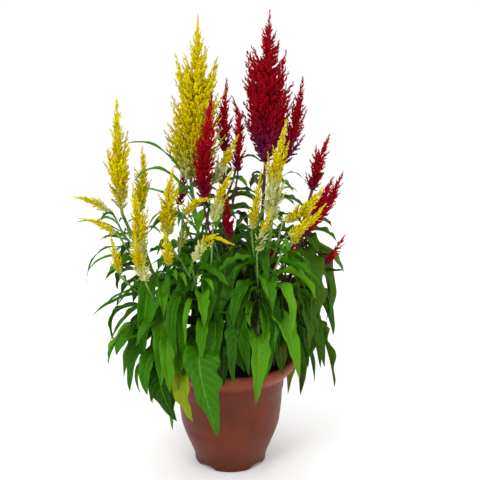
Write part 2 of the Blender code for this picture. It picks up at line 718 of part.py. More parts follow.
def leaf_mesh(root, middle, tip, width, roll):
    """A blade with its rib below, on a short stalk, which arches from its root through the middle to its tip."""
    control = 2 * middle - (root + tip) / 2
    stations = BROAD_STATIONS if width > BROAD else NARROW_STATIONS if width < NARROW else MIDDLING_STATIONS
    rings = len(stations)
    shape = ringed_prism(3, rings)
    reach = Vector((tip.x - root.x, tip.y - root.y, 0))
    level = UP.cross(reach).normalized()

    def line(share):
        return (1 - share) ** 2 * root + 2 * share * (1 - share) * control + share**2 * tip

    def heading(share):
        return ((1 - share) * (control - root) + share * (tip - control)).normalized()

    top = []
    for vertex in shape.verts:
        ring = round(vertex.co.z * rings)
        if ring == rings:
            top.append(vertex)
            continue
        share = stations[ring]
        along = heading(share)
        across = (level - along * level.dot(along)).normalized()
        across = Matrix.Rotation(roll, 3, along) @ across
        face = along.cross(across)
        half = max(PETIOLE_HALF_WIDTH, outline(share) * width / 2)
        side = round(vertex.co.x)
        if side:
            vertex.co = line(share) + across * side * half
        else:
            vertex.co = line(share) - face * KEEL_DEPTH
    drawn_to_a_point(shape, top, tip)
    root_end = [vertex for vertex in shape.verts if (vertex.co - root).length < 2 * MM]
    bmesh.ops.translate(shape, verts=root_end, vec=-heading(0) * ROOT_SINK)
    bmesh.ops.triangulate(shape, faces=shape.faces)
    return mesh_from(shape, "leaf")


def clear_of(solid, others):
    return not any(solid.crosses(other) for other in others)


def front_leaf_tries(leaf, main):
    """The leaf as measured, then the same leaf lifted, pushed out or rolled a little, until one is clear."""
    root = main.at_height(leaf.height * MM)
    middle = Vector(leaf.middle) * MM
    tip = Vector(leaf.tip) * MM
    outward = Vector((tip.x, tip.y, 0)).normalized()
    for push in (0, 5, -5, 9, -9, 13, 17):
        for lift in (0, 6, -6, 12):
            for roll in (0, 14, -14):
                moved = middle + outward * push * 0.7 * MM + UP * lift * MM
                end = tip + outward * push * MM + UP * lift * 0.4 * MM
                yield root, moved, end, leaf.width * MM, math.radians(roll)


def spiral_leaf_tries(foliage, main, number, chance):
    """A leaf at its place on the stem's spiral, then the same leaf turned, lifted or shortened, until one is clear."""
    rise = (number + 0.5) / foliage.count
    height = foliage.lowest + (foliage.highest - foliage.lowest) * rise
    root = main.at_height(height * MM)
    length = (LONGEST_LEAF + (SHORTEST_LEAF - LONGEST_LEAF) * rise**1.3) * chance.uniform(0.88, 1.1) * MM
    width = (WIDEST_LEAF + (NARROWEST_LEAF - WIDEST_LEAF) * rise) * chance.uniform(0.85, 1.15) * MM
    droop = max(0.8 - 0.9 * rise, 0)
    turn = number * GOLDEN_ANGLE + 0.9
    for share in (1, 0.85, 0.7):
        for lift in (0, 0.12, -0.1, 0.24):
            for aside in (0, 14, -14, 28, -28, 42, -42):
                angle = turn + math.radians(aside)
                out = Vector((math.cos(angle), math.sin(angle), 0))
                size = length * share
                middle = root + out * size * (0.46 - 0.1 * droop) + UP * size * (0.18 - 0.14 * droop + lift)
                tip = root + out * size * (0.88 - 0.36 * droop) - UP * size * (droop - lift)
                yield root, middle, tip, width * share, math.radians(aside / 3)


def place_leaves(stems, standing):
    """Fits every leaf clear of all that stands there, of the other plants' stems, and of the leaves before it."""
    leaves = {plant.name: [] for plant in PLANTS}
    routes = {plant.name: stem_route(plant) for plant in PLANTS}

    def settle(plant_name, tries):
        others = list(standing)
        for name, solids in stems.items():
            if name != plant_name:
                others += solids
        for solids in leaves.values():
            others += solids
        for root, middle, tip, width, roll in tries:
            if not reachable(tip):
                continue
            blade = Solid(leaf_mesh(root, middle, tip, width, roll))
            if clear_of(blade, others):
                leaves[plant_name].append(blade)
                return
            bpy.data.meshes.remove(blade.mesh)

    for leaf in FRONT_LEAVES:
        settle(leaf.plant, front_leaf_tries(leaf, routes[leaf.plant]))
    for foliage in FOLIAGE:
        chance = random.Random(foliage.plant)
        for number in range(foliage.count):
            settle(foliage.plant, spiral_leaf_tries(foliage, routes[foliage.plant], number, chance))
    return leaves


def reachable(tip):
    """Whether a tip is above the soil inside the pot, or clear of the pot's wall outside it."""
    return Vector((tip.x, tip.y)).length > (RIM[4][0] + 6) * MM or tip.z > (RIM[2][1] + 4) * MM


def main():
    for old in list(bpy.data.objects):
        bpy.data.objects.remove(old)
    collection = bpy.data.collections.new("plume celosia in its pot")
    bpy.context.scene.collection.children.link(collection)
    pot = make_pot(collection)
    soil = make_soil(collection)

    finishes = {
        "yellow": material("yellow florets", COLOURS["yellow"], 0.8),
        "red": material("red florets", COLOURS["red"], 0.8),
    }
    plumes = []
    for head in HEADS:
        mesh = plume_mesh(head)
        add_object(head.name, mesh, collection, finishes[head.colour])
        plumes.append(Solid(mesh))

    routes = {plant.name: stem_route(plant) for plant in PLANTS}
    stems = {}
    for plant in PLANTS:
        meshes = [stem_mesh(plant, routes[plant.name])]
        for head in HEADS:
            if head.plant == plant.name and head.fork is not None:
                meshes.append(shoot_mesh(head, routes[plant.name]))
        stems[plant.name] = [Solid(mesh) for mesh in meshes]

    standing = [Solid(evaluated_mesh(pot)), Solid(evaluated_mesh(soil)), *plumes]
    leaves = place_leaves(stems, standing)

    greens = {
        "yellow": material("green leaves", COLOURS["green"], 0.5),
        "red": material("olive leaves", COLOURS["olive"], 0.5),
    }
    for plant in PLANTS:
        meshes = [solid.mesh for solid in stems[plant.name] + leaves[plant.name]]
        mesh = fuse(meshes, "leafy_stem_" + plant.name)
        add_object("leafy_stem_" + plant.name, mesh, collection, greens[plant.colour])


main()
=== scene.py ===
"""Dresses the potted plume celosia: moulded pot, peat soil, ridged stems, veined leaves and feathery plumes.

Every stem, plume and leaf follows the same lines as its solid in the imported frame. Lengths are in millimetres
where a name doesn't say otherwise, and MM turns them to metres.
"""

import json
import math
import random
from collections import namedtuple

import bmesh
import bpy
from mathutils import Matrix, Vector, kdtree

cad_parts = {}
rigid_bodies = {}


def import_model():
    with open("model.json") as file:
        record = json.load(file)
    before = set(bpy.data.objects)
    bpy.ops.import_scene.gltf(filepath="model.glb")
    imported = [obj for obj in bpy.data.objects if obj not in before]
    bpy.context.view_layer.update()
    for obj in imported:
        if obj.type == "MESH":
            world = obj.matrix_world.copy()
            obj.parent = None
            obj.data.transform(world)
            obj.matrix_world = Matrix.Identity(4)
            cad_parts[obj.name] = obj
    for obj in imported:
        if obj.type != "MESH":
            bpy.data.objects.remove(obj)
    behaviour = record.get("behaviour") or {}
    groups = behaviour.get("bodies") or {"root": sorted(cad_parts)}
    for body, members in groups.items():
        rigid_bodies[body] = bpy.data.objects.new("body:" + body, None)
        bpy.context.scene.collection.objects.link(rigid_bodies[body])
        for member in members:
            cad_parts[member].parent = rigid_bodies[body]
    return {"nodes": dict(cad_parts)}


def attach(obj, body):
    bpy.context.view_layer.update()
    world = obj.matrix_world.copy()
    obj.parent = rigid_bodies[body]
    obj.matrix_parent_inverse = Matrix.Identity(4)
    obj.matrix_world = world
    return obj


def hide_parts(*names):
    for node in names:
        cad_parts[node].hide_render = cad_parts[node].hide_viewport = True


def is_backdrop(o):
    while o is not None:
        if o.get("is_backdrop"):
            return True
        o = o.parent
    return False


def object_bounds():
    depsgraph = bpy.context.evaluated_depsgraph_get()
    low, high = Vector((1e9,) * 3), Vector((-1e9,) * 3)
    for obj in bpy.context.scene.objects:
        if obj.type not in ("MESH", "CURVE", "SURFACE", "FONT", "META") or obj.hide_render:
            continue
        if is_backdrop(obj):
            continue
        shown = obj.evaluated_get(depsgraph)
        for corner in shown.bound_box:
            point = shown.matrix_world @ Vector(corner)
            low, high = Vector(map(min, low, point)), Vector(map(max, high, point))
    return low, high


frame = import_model()
cad_low, cad_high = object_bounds()

MM = 0.001
GAP = 0.3 * MM
GOLDEN_ANGLE = math.radians(137.5)
UP = Vector((0, 0, 1))
SIDEWAYS = Vector((0, 1, 0))

# Pot: radius and height of each point of its turned outline
POT_SIDES = 96
RIM_UNDERSIDE_RADIUS = 103.5
RIM_INNER_HEIGHT = 173
RIM_TOP = 175
POT_INSIDE = 80
POT_OUTSIDE = 112
FLOOR_RISE = 9.5
FOOT_RADIUS = 57.2
INSIDE = [
    (0, 3.5), (36, 3.5), (40.5, 13), (55, 13), (75, 60), (84, 147), (92.6, 167.6),
]
ROLLED_RIM = [
    (94.6, 171.4), (97.2, 173.8), (100, 175), (102.4, 174.6), (104.4, 173), (105.6, 170.8), (106, 168.5),
    (105.8, 166), (104.9, 163.4), (103.4, 160.9), (100.6, 157.6), (96.4, 153.0), (92.6, 148.9),
    (91.6, 148.1), (90.9, 147.7), (87.6, 147.5), (86.9, 147),
]
OUTSIDE = [
    (86.4, 141), (85.6, 132), (85.0, 124.6), (84.6, 123.6), (83.7, 122.7), (83.4, 121.8), (83, 112),
    (82.2, 98), (81, 85), (79, 69.2), (78.7, 68.2), (78.1, 67.7), (78.0, 66.7), (78.3, 66.2), (78.1, 65.2),
    (77.5, 64.7), (77.2, 63.7), (77.4, 63.0), (73.4, 50), (67, 34), (60.9, 19.4), (59.2, 14.5), (58.1, 10),
    (57.6, 6), (57.2, 1.6), (56.4, 0.4), (55.4, 0),
]
UNDERSIDE = [
    (53.9, 0), (53, 0.8), (52, 9.5), (41, 9.5), (39.8, 0.8), (39, 0), (0, 0),
]
ARCHES = 4
ARCH_HEIGHT = 7.5
ARCH_RADIUS = 26
ARCH_DEPTH = 14
ARCH_TURN = math.radians(49)
ARCH_SIDES = 96
DRAIN_HOLES = 4
DRAIN_RADIUS = 2.6
DRAIN_CIRCLE = 47
DRAIN_DEPTH = 12
DRAIN_SIDES = 24
SHARP_ANGLE = math.radians(40)

# Soil
SOIL_RADIUS = 83.4
SOIL_EDGE_HEIGHT = 150
SOIL_MIDDLE_HEIGHT = 156
SOIL_GRID = 70
SOIL_LUMP = 1.1
SOIL_FOOT_HEIGHT = 20
SOIL_FOOT_SHARE = 0.63
CRUMBS = 520
CRUMB_SIZES = (0.8, 2.4)
CRUMB_BORDER = 4
CRUMB_SINK = 0.6

# Stems: their radii at the foot and at the top
STEM_RADII = (4.0, 2.4)
SHOOT_RADII = (1.9, 1.4)
NECK = 7
SHOOT_BEND = 0.45
SHOOT_SWAY = 0.14
STEM_FOOT_HEIGHT = 140

# Leaves
BROAD_STATION = 0.8
MIDDLING_STATION = 0.75
NARROW_STATION = 0.62
BROAD = 32 * MM
NARROW = 13 * MM
PETIOLE_SHARE = 0.16
PETIOLE_HALF_WIDTH = 1.2 * MM
LONGEST_LEAF = 146
SHORTEST_LEAF = 64
WIDEST_LEAF = 44
NARROWEST_LEAF = 14
BETWEEN_LEAVES = 15
MATCH = 0.05 * MM
BLADE_THICKNESS = 0.35 * MM
BLADE_EDGE = 0.15 * MM
VEIN_TURNS = 90.0
VEIN_LEAN = 0.06
VEIN_CURVE = 0.07
OLD_LEAF_HEIGHT = 190
OLDEST_TONE = 0.85
OLD_LEAVES = 0.6
BETWEEN_FROM = 190
FOLDS = (0.45, 0.95)
WAVES = (2.5, 5.5)
WAVE_DEPTHS = (0.14, 0.34)
EDGE_WAVE = 0.07
QUILT = 0.09
TWIST = 0.6
SMALL_LEAVES = 4

# Plumes
BIG_PLUME = 18
SIDE_GIRTH = 15
SIDE_GIRTH_SHARE = 0.7
SPIRE_BEND_OUT = 0.62
SPIRE_BEND_UP = 0.45
SPIRE_BARE = 0.12
AXIS_RADII = (2.2, 0.5)
SPIRE_RADII = (1.2, 0.4)
AXIS_SHADE = 0.25
CORE_SHARE = 0.52
CORE_FOOT = 0.45
CORE_SWELL = 1.8
CORE_TAPER = 0.55
BRACTS = 11
SPRAYS = 6
SPRAY_CURL = 0.16
MAIN_SPACING = 1.5
SIDE_SPACING = 3.6
LONGEST_SPRAY = 27

# How far a plume's outer sprays reach at each share of its height: millimetres on the two tall plumes, shares
# of the plume's girth on the others
FLAMES = {
    "yellow_tall": [(0.0, 28), (0.12, 44), (0.3, 48), (0.5, 46), (0.68, 37), (0.8, 19), (0.9, 7), (1.0, 1)],
    "red_tall": [(0.0, 8), (0.15, 23), (0.32, 42), (0.5, 48), (0.68, 41), (0.8, 24), (0.9, 8), (1.0, 1)],
}
FLAME = [(0.0, 0.5), (0.2, 1.1), (0.38, 1.6), (0.54, 1.5), (0.7, 1.05), (0.85, 0.5), (1.0, 0.12)]
BIG_SPRAYS = 104
BIG_SPRAY_GIRTH = 12.5
PLUMP = 1.28
SPRAYS_PER_GIRTH = 1.45

# The share of a plume, from its foot, whose florets have faded
FADED = {
    "yellow_right_tall": 0.36, "yellow_front_slender": 0.3, "yellow_left_front": 0.2,
    "yellow_left_small": 0.25, "yellow_front_arching": 0.35, "yellow_right_small": 0.4,
    "yellow_left_reaching": 0.15, "yellow_slender": 0.35, "red_right_front": 0.3, "red_tall": 0.1,
    "red_right_tall": 0.2,
}

# Camera and light, in metres and watts
CAMERA_PLACE = (0.0156, -1.15, 0.60)
CAMERA_PITCH = 11.75
CAMERA_LENS = 57
WORLD_LIGHT = 1.0
LIT_PLACE = (0, 0, 0.35)
LIGHTS = [
    ("key", (-0.9, -1.7, 2.2), 26, 0.8),
    ("fill", (1.6, -1.2, 1.3), 5, 1.6),
    ("back", (0.4, 1.8, 1.9), 8, 1.5),
]

Plant = namedtuple("Plant", "name stem colour")
Head = namedtuple("Head", "name fork foot tip girth bow spires", defaults=((0, 0, 0), ()))

# Each plant's main stem, from the soil to the foot of its highest plume
PLANTS = [
    Plant("left_yellow", [(-52, -18, 160), (-72, -24, 215), (-108, -32, 300), (-145, -36, 375)], "yellow"),
    Plant("middle_yellow", [(-30, 16, 160), (-36, 18, 240), (-48, 20, 350), (-58, 20, 430)], "yellow"),
    Plant("front_yellow", [(-16, -50, 160), (-26, -52, 220), (-52, -52, 300), (-82, -50, 352)], "yellow"),
    Plant("right_yellow", [(34, -46, 160), (42, -50, 230), (52, -52, 310), (60, -52, 375)], "yellow"),
    Plant("back_red", [(42, 36, 160), (44, 38, 250), (50, 40, 370), (54, 42, 450)], "red"),
    Plant("middle_red", [(-4, 48, 160), (-8, 46, 260), (-10, 38, 380), (-9, 34, 470)], "red"),
    Plant("right_red", [(66, 2, 160), (76, 8, 220), (98, 16, 310), (120, 23, 405)], "red"),
]

LEAF_SLOTS = {"yellow": "green_leaves", "red": "olive_leaves"}

# Each plant's plumes: the height where a plume's shoot leaves the main stem (None at the stem's own top),
# where the plume starts and ends, its greatest half width, how far it bows, and the smaller spires that stand
# out of it as (share of the way up, direction in degrees, reach, rise)
HEADS = {
    "middle_yellow": [
        Head(
            "yellow_tall", None, (-60, 20, 458), (-47, 30, 699), 21, (2, 0, 0),
            [
                (0.08, 197, 33, 84), (0.26, 220, 27, 82), (0.42, 184, 34, 84), (0.18, 352, 33, 84),
                (0.42, 2, 30, 80), (0.12, 75, 30, 86), (0.32, 112, 28, 84), (0.52, 58, 21, 72),
                (0.14, 292, 28, 82), (0.38, 275, 25, 84),
            ],
        ),
        Head("yellow_slender", 322, (-26, 2, 450), (14, -20, 524), 11),
    ],
    "left_yellow": [
        Head(
            "yellow_left_tall", None, (-160, -36, 416), (-162, -40, 577), 16, (-2, 0, 0),
            [(0.22, 198, 15, 52), (0.37, 16, 17, 56), (0.45, 282, 14, 48)],
        ),
        Head("yellow_left_inner", 318, (-136, -18, 408), (-130, -14, 507), 12, (3, 0, 0)),
        Head(
            "yellow_left_front", 262, (-130, -72, 346), (-137, -78, 461), 14, (3, 0, 0),
            [(0.34, 10, 15, 42)],
        ),
        Head("yellow_left_reaching", 345, (-176, -62, 418), (-226, -66, 438), 9, (0, 0, 5)),
        Head("yellow_left_spreading", 322, (-164, -84, 388), (-213, -94, 412), 8, (0, 0, 5)),
        Head("yellow_left_low", 268, (-158, -84, 330), (-169, -88, 386), 9),
        Head("yellow_left_small", 240, (-120, -98, 322), (-132, -104, 392), 11, (-3, 0, 0)),
    ],
    "front_yellow": [
        Head(
            "yellow_front_tall", None, (-92, -50, 380), (-81, -55, 481), 14, (-2, 0, 0),
            [(0.36, 350, 14, 38)],
        ),
        Head("yellow_front_low", 290, (-86, -82, 340), (-92, -90, 396), 10),
        Head("yellow_front_inner", 316, (-76, -26, 356), (-62, -26, 402), 8),
        Head("yellow_front_arching", 264, (-50, -92, 350), (8, -116, 378), 9, (-8, 0, 22)),
        Head("yellow_front_level", 342, (-64, -60, 412), (-22, -88, 438), 9, (-4, 0, 8)),
        Head("yellow_front_slender", 250, (-22, -62, 402), (6, -74, 480), 11, (-3, 0, 4)),
    ],
    "right_yellow": [
        Head(
            "yellow_right_tall", None, (62, -52, 402), (82, -60, 549), 15, (-4, 0, 0),
            [(0.36, 190, 15, 48), (0.48, 330, 14, 46)],
        ),
        Head("yellow_right_slender", 280, (34, -48, 388), (47, -50, 477), 9),
        Head("yellow_right_reaching", 322, (82, -76, 404), (133, -95, 458), 12, (6, 0, -2)),
        Head("yellow_right_spreading", 302, (86, -98, 388), (134, -122, 438), 9, (4, 0, -2)),
        Head("yellow_right_low", 292, (92, -66, 370), (118, -74, 422), 9),
        Head("yellow_right_small", 262, (42, -80, 362), (60, -90, 428), 9),
    ],
    "back_red": [
        Head(
            "red_tall", None, (55, 42, 478), (61, 50, 708), 20, (-2, 0, 0),
            [
                (0.14, 190, 27, 88), (0.34, 172, 31, 90), (0.22, 5, 28, 88), (0.38, 350, 31, 84),
                (0.2, 100, 28, 88), (0.42, 76, 25, 78), (0.18, 262, 28, 88), (0.42, 280, 25, 80),
            ],
        ),
        Head(
            "red_right_tall", 336, (84, 52, 474), (114, 60, 609), 14, (4, 0, 0),
            [(0.32, 20, 14, 44), (0.44, 200, 13, 44)],
        ),
    ],
    "middle_red": [
        Head(
            "red_middle_tall", 298, (-38, -22, 424), (-25, -28, 586), 15, (-4, 0, 0),
            [(0.32, 185, 13, 50), (0.44, 10, 13, 50)],
        ),
        Head("red_middle_back", None, (-8, 33, 495), (-4, 30, 607), 12, (-3, 0, 0)),
        Head("red_middle_small", 412, (16, 36, 510), (4, 26, 579), 9, (4, 0, 0)),
        Head("red_middle_low", 366, (12, 14, 466), (14, 12, 556), 10),
        Head("red_inner", 262, (0, -38, 374), (-6, -46, 441), 10),
        Head("red_left_back", 282, (-82, 52, 408), (-69, 56, 480), 9),
    ],
    "right_red": [
        Head("red_right_upper", None, (128, 25, 436), (154, 30, 522), 13, (-3, 0, 0), [(0.4, 190, 12, 36)]),
        Head("red_right_middle", 340, (124, -8, 384), (157, -14, 462), 12, (-2, 0, 2), [(0.4, 30, 12, 36)]),
        Head("red_right_outer", 322, (136, 44, 386), (180, 52, 462), 12, (3, 0, -2)),
        Head("red_right_front", 258, (92, -20, 366), (156, -26, 424), 12, (3, 0, -3)),
        Head("red_far_right", 252, (146, -22, 328), (176, -24, 376), 8),
        Head("red_right_low", 238, (84, -44, 350), (108, -50, 378), 7),
        Head("red_right_small", 224, (66, -36, 326), (62, -46, 364), 7),
    ],
}

# The leaves that show from the front, plant by plant: height of the root on the main stem, a point half way
# along, the tip, and the greatest width
FRONT_LEAVES = {
    "front_yellow": [
        (212, (-43, -126, 212), (-16, -143, 104), 56), (288, (-78, -110, 290), (-75, -134, 223), 18),
        (312, (-86, -88, 324), (-82, -108, 286), 8), (254, (-62, -106, 266), (-64, -128, 204), 18),
        (270, (-52, -98, 278), (-54, -116, 223), 10), (238, (-38, -104, 248), (-38, -126, 208), 20),
        (184, (-64, -112, 190), (-52, -130, 120), 34), (204, (-10, -98, 232), (-8, -124, 172), 24),
        (244, (-20, -86, 260), (-26, -108, 214), 26), (300, (-34, -78, 318), (-22, -96, 304), 8),
        (222, (-72, -92, 226), (-66, -118, 182), 24), (262, (-8, -70, 276), (-4, -92, 222), 32),
        (232, (-52, -86, 244), (-54, -106, 190), 30),
    ],
    "left_yellow": [
        (226, (-88, -112, 238), (-83, -140, 168), 28), (244, (-106, -88, 258), (-134, -112, 228), 27),
        (222, (-138, -86, 236), (-163, -106, 212), 22), (252, (-150, -74, 240), (-179, -92, 192), 21),
        (270, (-137, -70, 272), (-175, -92, 228), 16), (296, (-132, -70, 308), (-163, -90, 282), 10),
        (286, (-144, -64, 298), (-182, -80, 281), 10), (280, (-154, -52, 286), (-200, -84, 266), 9),
        (338, (-180, -42, 344), (-209, -60, 326), 8), (350, (-192, -34, 352), (-215, -48, 303), 8),
        (360, (-175, -22, 370), (-196, -24, 366), 7), (306, (-160, -6, 314), (-173, -16, 286), 20),
        (292, (-148, -18, 300), (-173, -34, 262), 22), (256, (-168, -30, 258), (-176, -44, 210), 14),
        (206, (-114, -96, 208), (-118, -124, 158), 24), (196, (-126, -84, 196), (-131, -100, 151), 9),
        (182, (-100, -102, 186), (-76, -124, 118), 36), (368, (-186, -52, 396), (-222, -60, 400), 7),
        (252, (-104, -64, 268), (-110, -92, 218), 28),
    ],
    "right_yellow": [
        (244, (16, -108, 260), (8, -138, 176), 30), (300, (20, -98, 308), (6, -125, 261), 22),
        (276, (30, -92, 282), (30, -113, 258), 12), (218, (43, -108, 230), (38, -136, 150), 32),
        (332, (86, -84, 344), (132, -96, 314), 22), (292, (80, -92, 304), (88, -112, 239), 22),
        (350, (52, -78, 352), (57, -97, 309), 13), (312, (48, -76, 320), (58, -88, 290), 11),
        (236, (56, -74, 248), (58, -100, 196), 16), (262, (54, -70, 270), (64, -90, 216), 28),
        (226, (8, -76, 238), (22, -104, 186), 28), (322, (22, -68, 336), (4, -88, 296), 24),
    ],
    "right_red": [
        (222, (74, -78, 232), (77, -116, 186), 28), (262, (72, -64, 280), (82, -86, 242), 18),
        (268, (118, -20, 276), (110, -46, 204), 42), (226, (124, -26, 222), (108, -56, 178), 20),
        (292, (146, 8, 274), (152, 4, 230), 12), (310, (146, -4, 312), (174, -16, 317), 9),
        (218, (98, -50, 230), (99, -78, 200), 16), (330, (96, -26, 346), (104, -58, 300), 30),
    ],
    "middle_yellow": [
        (318, (-8, -40, 336), (-22, -84, 252), 38), (424, (-98, -2, 496), (-149, -30, 512), 8),
        (410, (-100, -12, 470), (-141, -40, 456), 8), (396, (-98, -8, 438), (-136, -24, 446), 7),
        (372, (-92, -4, 408), (-124, -18, 384), 10), (336, (-66, -22, 344), (-70, -62, 300), 30),
    ],
    "middle_red": [
        (352, (26, -2, 366), (34, -44, 324), 28),
    ],
    "back_red": [
        (300, (98, 14, 320), (128, -8, 262), 32),
    ],
}

# Broad outer leaves that hang in front of the others, where no solid leaf has room
HANGING_LEAVES = {
    "right_red": [
        (338, (120, -30, 330), (132, -50, 222), 40), (345, (138, 0, 335), (158, -10, 240), 34),
        (300, (112, -40, 292), (120, -62, 206), 34),
    ],
    "middle_red": [
        (340, (40, -40, 340), (48, -84, 240), 30),
    ],
    "front_yellow": [
        (290, (-66, -84, 300), (-72, -118, 196), 24), (240, (-20, -96, 250), (-30, -128, 170), 30),
    ],
    "middle_yellow": [
        (330, (-30, -50, 330), (-40, -100, 232), 32),
    ],
    "left_yellow": [
        (300, (-120, -70, 300), (-128, -100, 196), 28), (262, (-96, -84, 262), (-98, -122, 168), 34),
        (218, (-124, -70, 222), (-148, -90, 150), 30),
    ],
    "right_yellow": [
        (262, (56, -84, 262), (52, -118, 178), 30),
    ],
}

# The other leaves follow the plants' own spiral: its lowest and highest root and its number of leaves
FOLIAGE = {
    "left_yellow": (172, 352, 11), "middle_yellow": (172, 432, 15), "front_yellow": (262, 330, 3),
    "right_yellow": (184, 366, 8), "back_red": (172, 446, 16), "middle_red": (172, 452, 16),
    "right_red": (172, 392, 15),
}


class Route:
    """A smooth line through a few points, read by the share of the way along it."""

    def __init__(self, points, samples=24):
        self.places = smooth_line([Vector(point) for point in points], samples)
        self.ways = [0.0]
        for start, end in zip(self.places, self.places[1:]):
            self.ways.append(self.ways[-1] + (end - start).length)
        self.length = self.ways[-1]

    def index(self, share):
        way = min(max(share, 0.0), 1.0) * self.length
        last = len(self.places) - 2
        for step in range(last):
            if self.ways[step + 1] >= way:
                return step, way
        return last, way

    def at(self, share):
        step, way = self.index(share)
        span = self.ways[step + 1] - self.ways[step]
        return self.places[step].lerp(self.places[step + 1], (way - self.ways[step]) / span)

    def heading(self, share):
        return (self.at(min(share + 0.02, 1.0)) - self.at(max(share - 0.02, 0.0))).normalized()

    def at_height(self, height):
        """The first place on the way up that is this high."""
        for start, end in zip(self.places, self.places[1:]):
            if start.z <= height <= end.z:
                return start.lerp(end, (height - start.z) / (end.z - start.z))
        return self.places[-1]


def smooth_line(points, samples):
    """Points on a Catmull-Rom curve through the given ones."""
    ends = [2 * points[0] - points[1], *points, 2 * points[-1] - points[-2]]
    spans = len(points) - 1
    line = []
    for sample in range(samples + 1):
        at = sample / samples * spans
        span = min(int(at), spans - 1)
        t = at - span
        a, b, c, d = ends[span : span + 4]
        line.append(
            0.5 * (2 * b + (c - a) * t + (2 * a - 5 * b + 4 * c - d) * t**2 + (3 * b - a - 3 * c + d) * t**3)
        )
    return line


def plume_route(head):
    """The plume's own axis, bowed half way up."""
    foot = Vector(head.foot) * MM
    tip = Vector(head.tip) * MM
    middle = foot.lerp(tip, 0.5) + Vector(head.bow) * MM
    return Route([foot, middle, tip])


def stem_route(plant, *below):
    """The main stem's line, through any points below it, its own points and up to its highest plume."""
    end, neck = below_plume(next(head for head in HEADS[plant.name] if head.fork is None))
    return Route([*below, *[Vector(point) * MM for point in plant.stem], neck, end], 48)


def below_plume(head):
    """The stem's last point, face to face with the plume's foot, and the start of its straight neck."""
    route = plume_route(head)
    heading = route.heading(0)
    end = route.at(0) - heading * GAP
    return end, end - heading * NECK * MM


def towards(angle):
    """The level direction at an angle from +X."""
    return Vector((math.cos(angle), math.sin(angle), 0))


def side_route(main, spire):
    """The line of a smaller spire that leaves the plume's axis outwards and turns up."""
    share, degrees, reach, rise = spire
    start = main.at(share)
    aside = towards(math.radians(degrees)) * reach * MM
    up = main.heading(share) * rise * MM
    return Route([start, start + aside * SPIRE_BEND_OUT + up * SPIRE_BEND_UP, start + aside + up], 12)


def outline(share):
    """The half width of a leaf, as a share of its greatest, from its root to its tip."""
    along = (share - PETIOLE_SHARE) / (1 - PETIOLE_SHARE)
    if along <= 0 or along >= 1:
        return 0.0
    return 2.72 * along**0.62 * (1 - along) ** 0.85


def front_leaf_tries(leaf, main):
    """The leaf as measured, then the same leaf lifted, pushed out or rolled a little, until one is clear."""
    height, middle, tip, width = leaf
    root = main.at_height(height * MM)
    middle = Vector(middle) * MM
    tip = Vector(tip) * MM
    outward = Vector((tip.x, tip.y, 0)).normalized()
    for push in (0, 5, -5, 9, -9, 13, 17):
        for lift in (0, 6, -6, 12):
            for roll in (0, 14, -14):
                moved = middle + outward * push * 0.7 * MM + UP * lift * MM
                end = tip + outward * push * MM + UP * lift * 0.4 * MM
                yield root, moved, end, width * MM, math.radians(roll)


def spiral_leaf_tries(foliage, main, number, chance):
    """A leaf of the stem's spiral, then the same leaf turned, lifted or shortened, until one is clear."""
    lowest, highest, count = foliage
    rise = (number + 0.5) / count
    root = main.at_height((lowest + (highest - lowest) * rise) * MM)
    length = (LONGEST_LEAF + (SHORTEST_LEAF - LONGEST_LEAF) * rise**1.3) * chance.uniform(0.88, 1.1) * MM
    width = (WIDEST_LEAF + (NARROWEST_LEAF - WIDEST_LEAF) * rise) * chance.uniform(0.85, 1.15) * MM
    droop = max(0.8 - 0.9 * rise, 0)
    turn = number * GOLDEN_ANGLE + 0.9
    for share in (1, 0.85, 0.7):
        for lift in (0, 0.12, -0.1, 0.24):
            for aside in (0, 14, -14, 28, -28, 42, -42):
                angle = turn + math.radians(aside)
                out = towards(angle)
                size = length * share
                middle = root + out * size * (0.46 - 0.1 * droop) + UP * size * (0.18 - 0.14 * droop + lift)
                tip = root + out * size * (0.88 - 0.36 * droop) - UP * size * (droop - lift)
                yield root, middle, tip, width * share, math.radians(aside / 3)


def reachable(tip):
    """Whether a tip is above the soil inside the pot, or clear of the pot's wall outside it."""
    return tip.xy.length > (RIM_UNDERSIDE_RADIUS + 6) * MM or tip.z > (RIM_INNER_HEIGHT + 4) * MM


def linear(hex_colour):
    """An sRGB hex colour as the linear colour that a shader takes."""
    channels = [int(hex_colour[place : place + 2], 16) / 255 for place in (1, 3, 5)]
    return (*[c / 12.92 if c <= 0.04045 else ((c + 0.055) / 1.055) ** 2.4 for c in channels], 1)


def feed(node, inputs):
    """Gives a node its inputs, each a plain value or another node's output."""
    for socket, value in inputs.items():
        if isinstance(value, bpy.types.NodeSocket):
            node.id_data.links.new(value, node.inputs[socket])
        else:
            node.inputs[socket].default_value = value


def add_node(tree, kind, inputs, output=0, **settings):
    """Adds one node with its settings and inputs, and returns one of its outputs."""
    node = tree.nodes.new("ShaderNode" + kind)
    for name, value in settings.items():
        setattr(node, name, value)
    feed(node, inputs)
    return node.outputs[output]


def new_material(name, inputs):
    """A new material with its node tree and its shader, which takes the inputs."""
    made = bpy.data.materials.new(name)
    made.use_nodes = True
    shader = made.node_tree.nodes["Principled BSDF"]
    feed(shader, inputs)
    return made, made.node_tree, shader


def colour_ramp(tree, factor, stops):
    """A colour that runs through the stops, each a share and a hex colour."""
    colour = add_node(tree, "ValToRGB", {0: factor})
    marks = colour.node.color_ramp.elements
    for mark, (position, hex_colour) in zip(marks, (stops[0], stops[-1])):
        mark.position = position
        mark.color = linear(hex_colour)
    for position, hex_colour in stops[1:-1]:
        marks.new(position).color = linear(hex_colour)
    return colour


def blended(tree, kind, factor, first, second):
    """Two colours blended by a factor."""
    inputs = {0: factor, 6: first, 7: second}
    return add_node(tree, "Mix", inputs, 2, data_type="RGBA", blend_type=kind)


def reckoned(tree, operation, *terms):
    """The result of a Math node."""
    return add_node(tree, "Math", dict(enumerate(terms)), operation=operation)


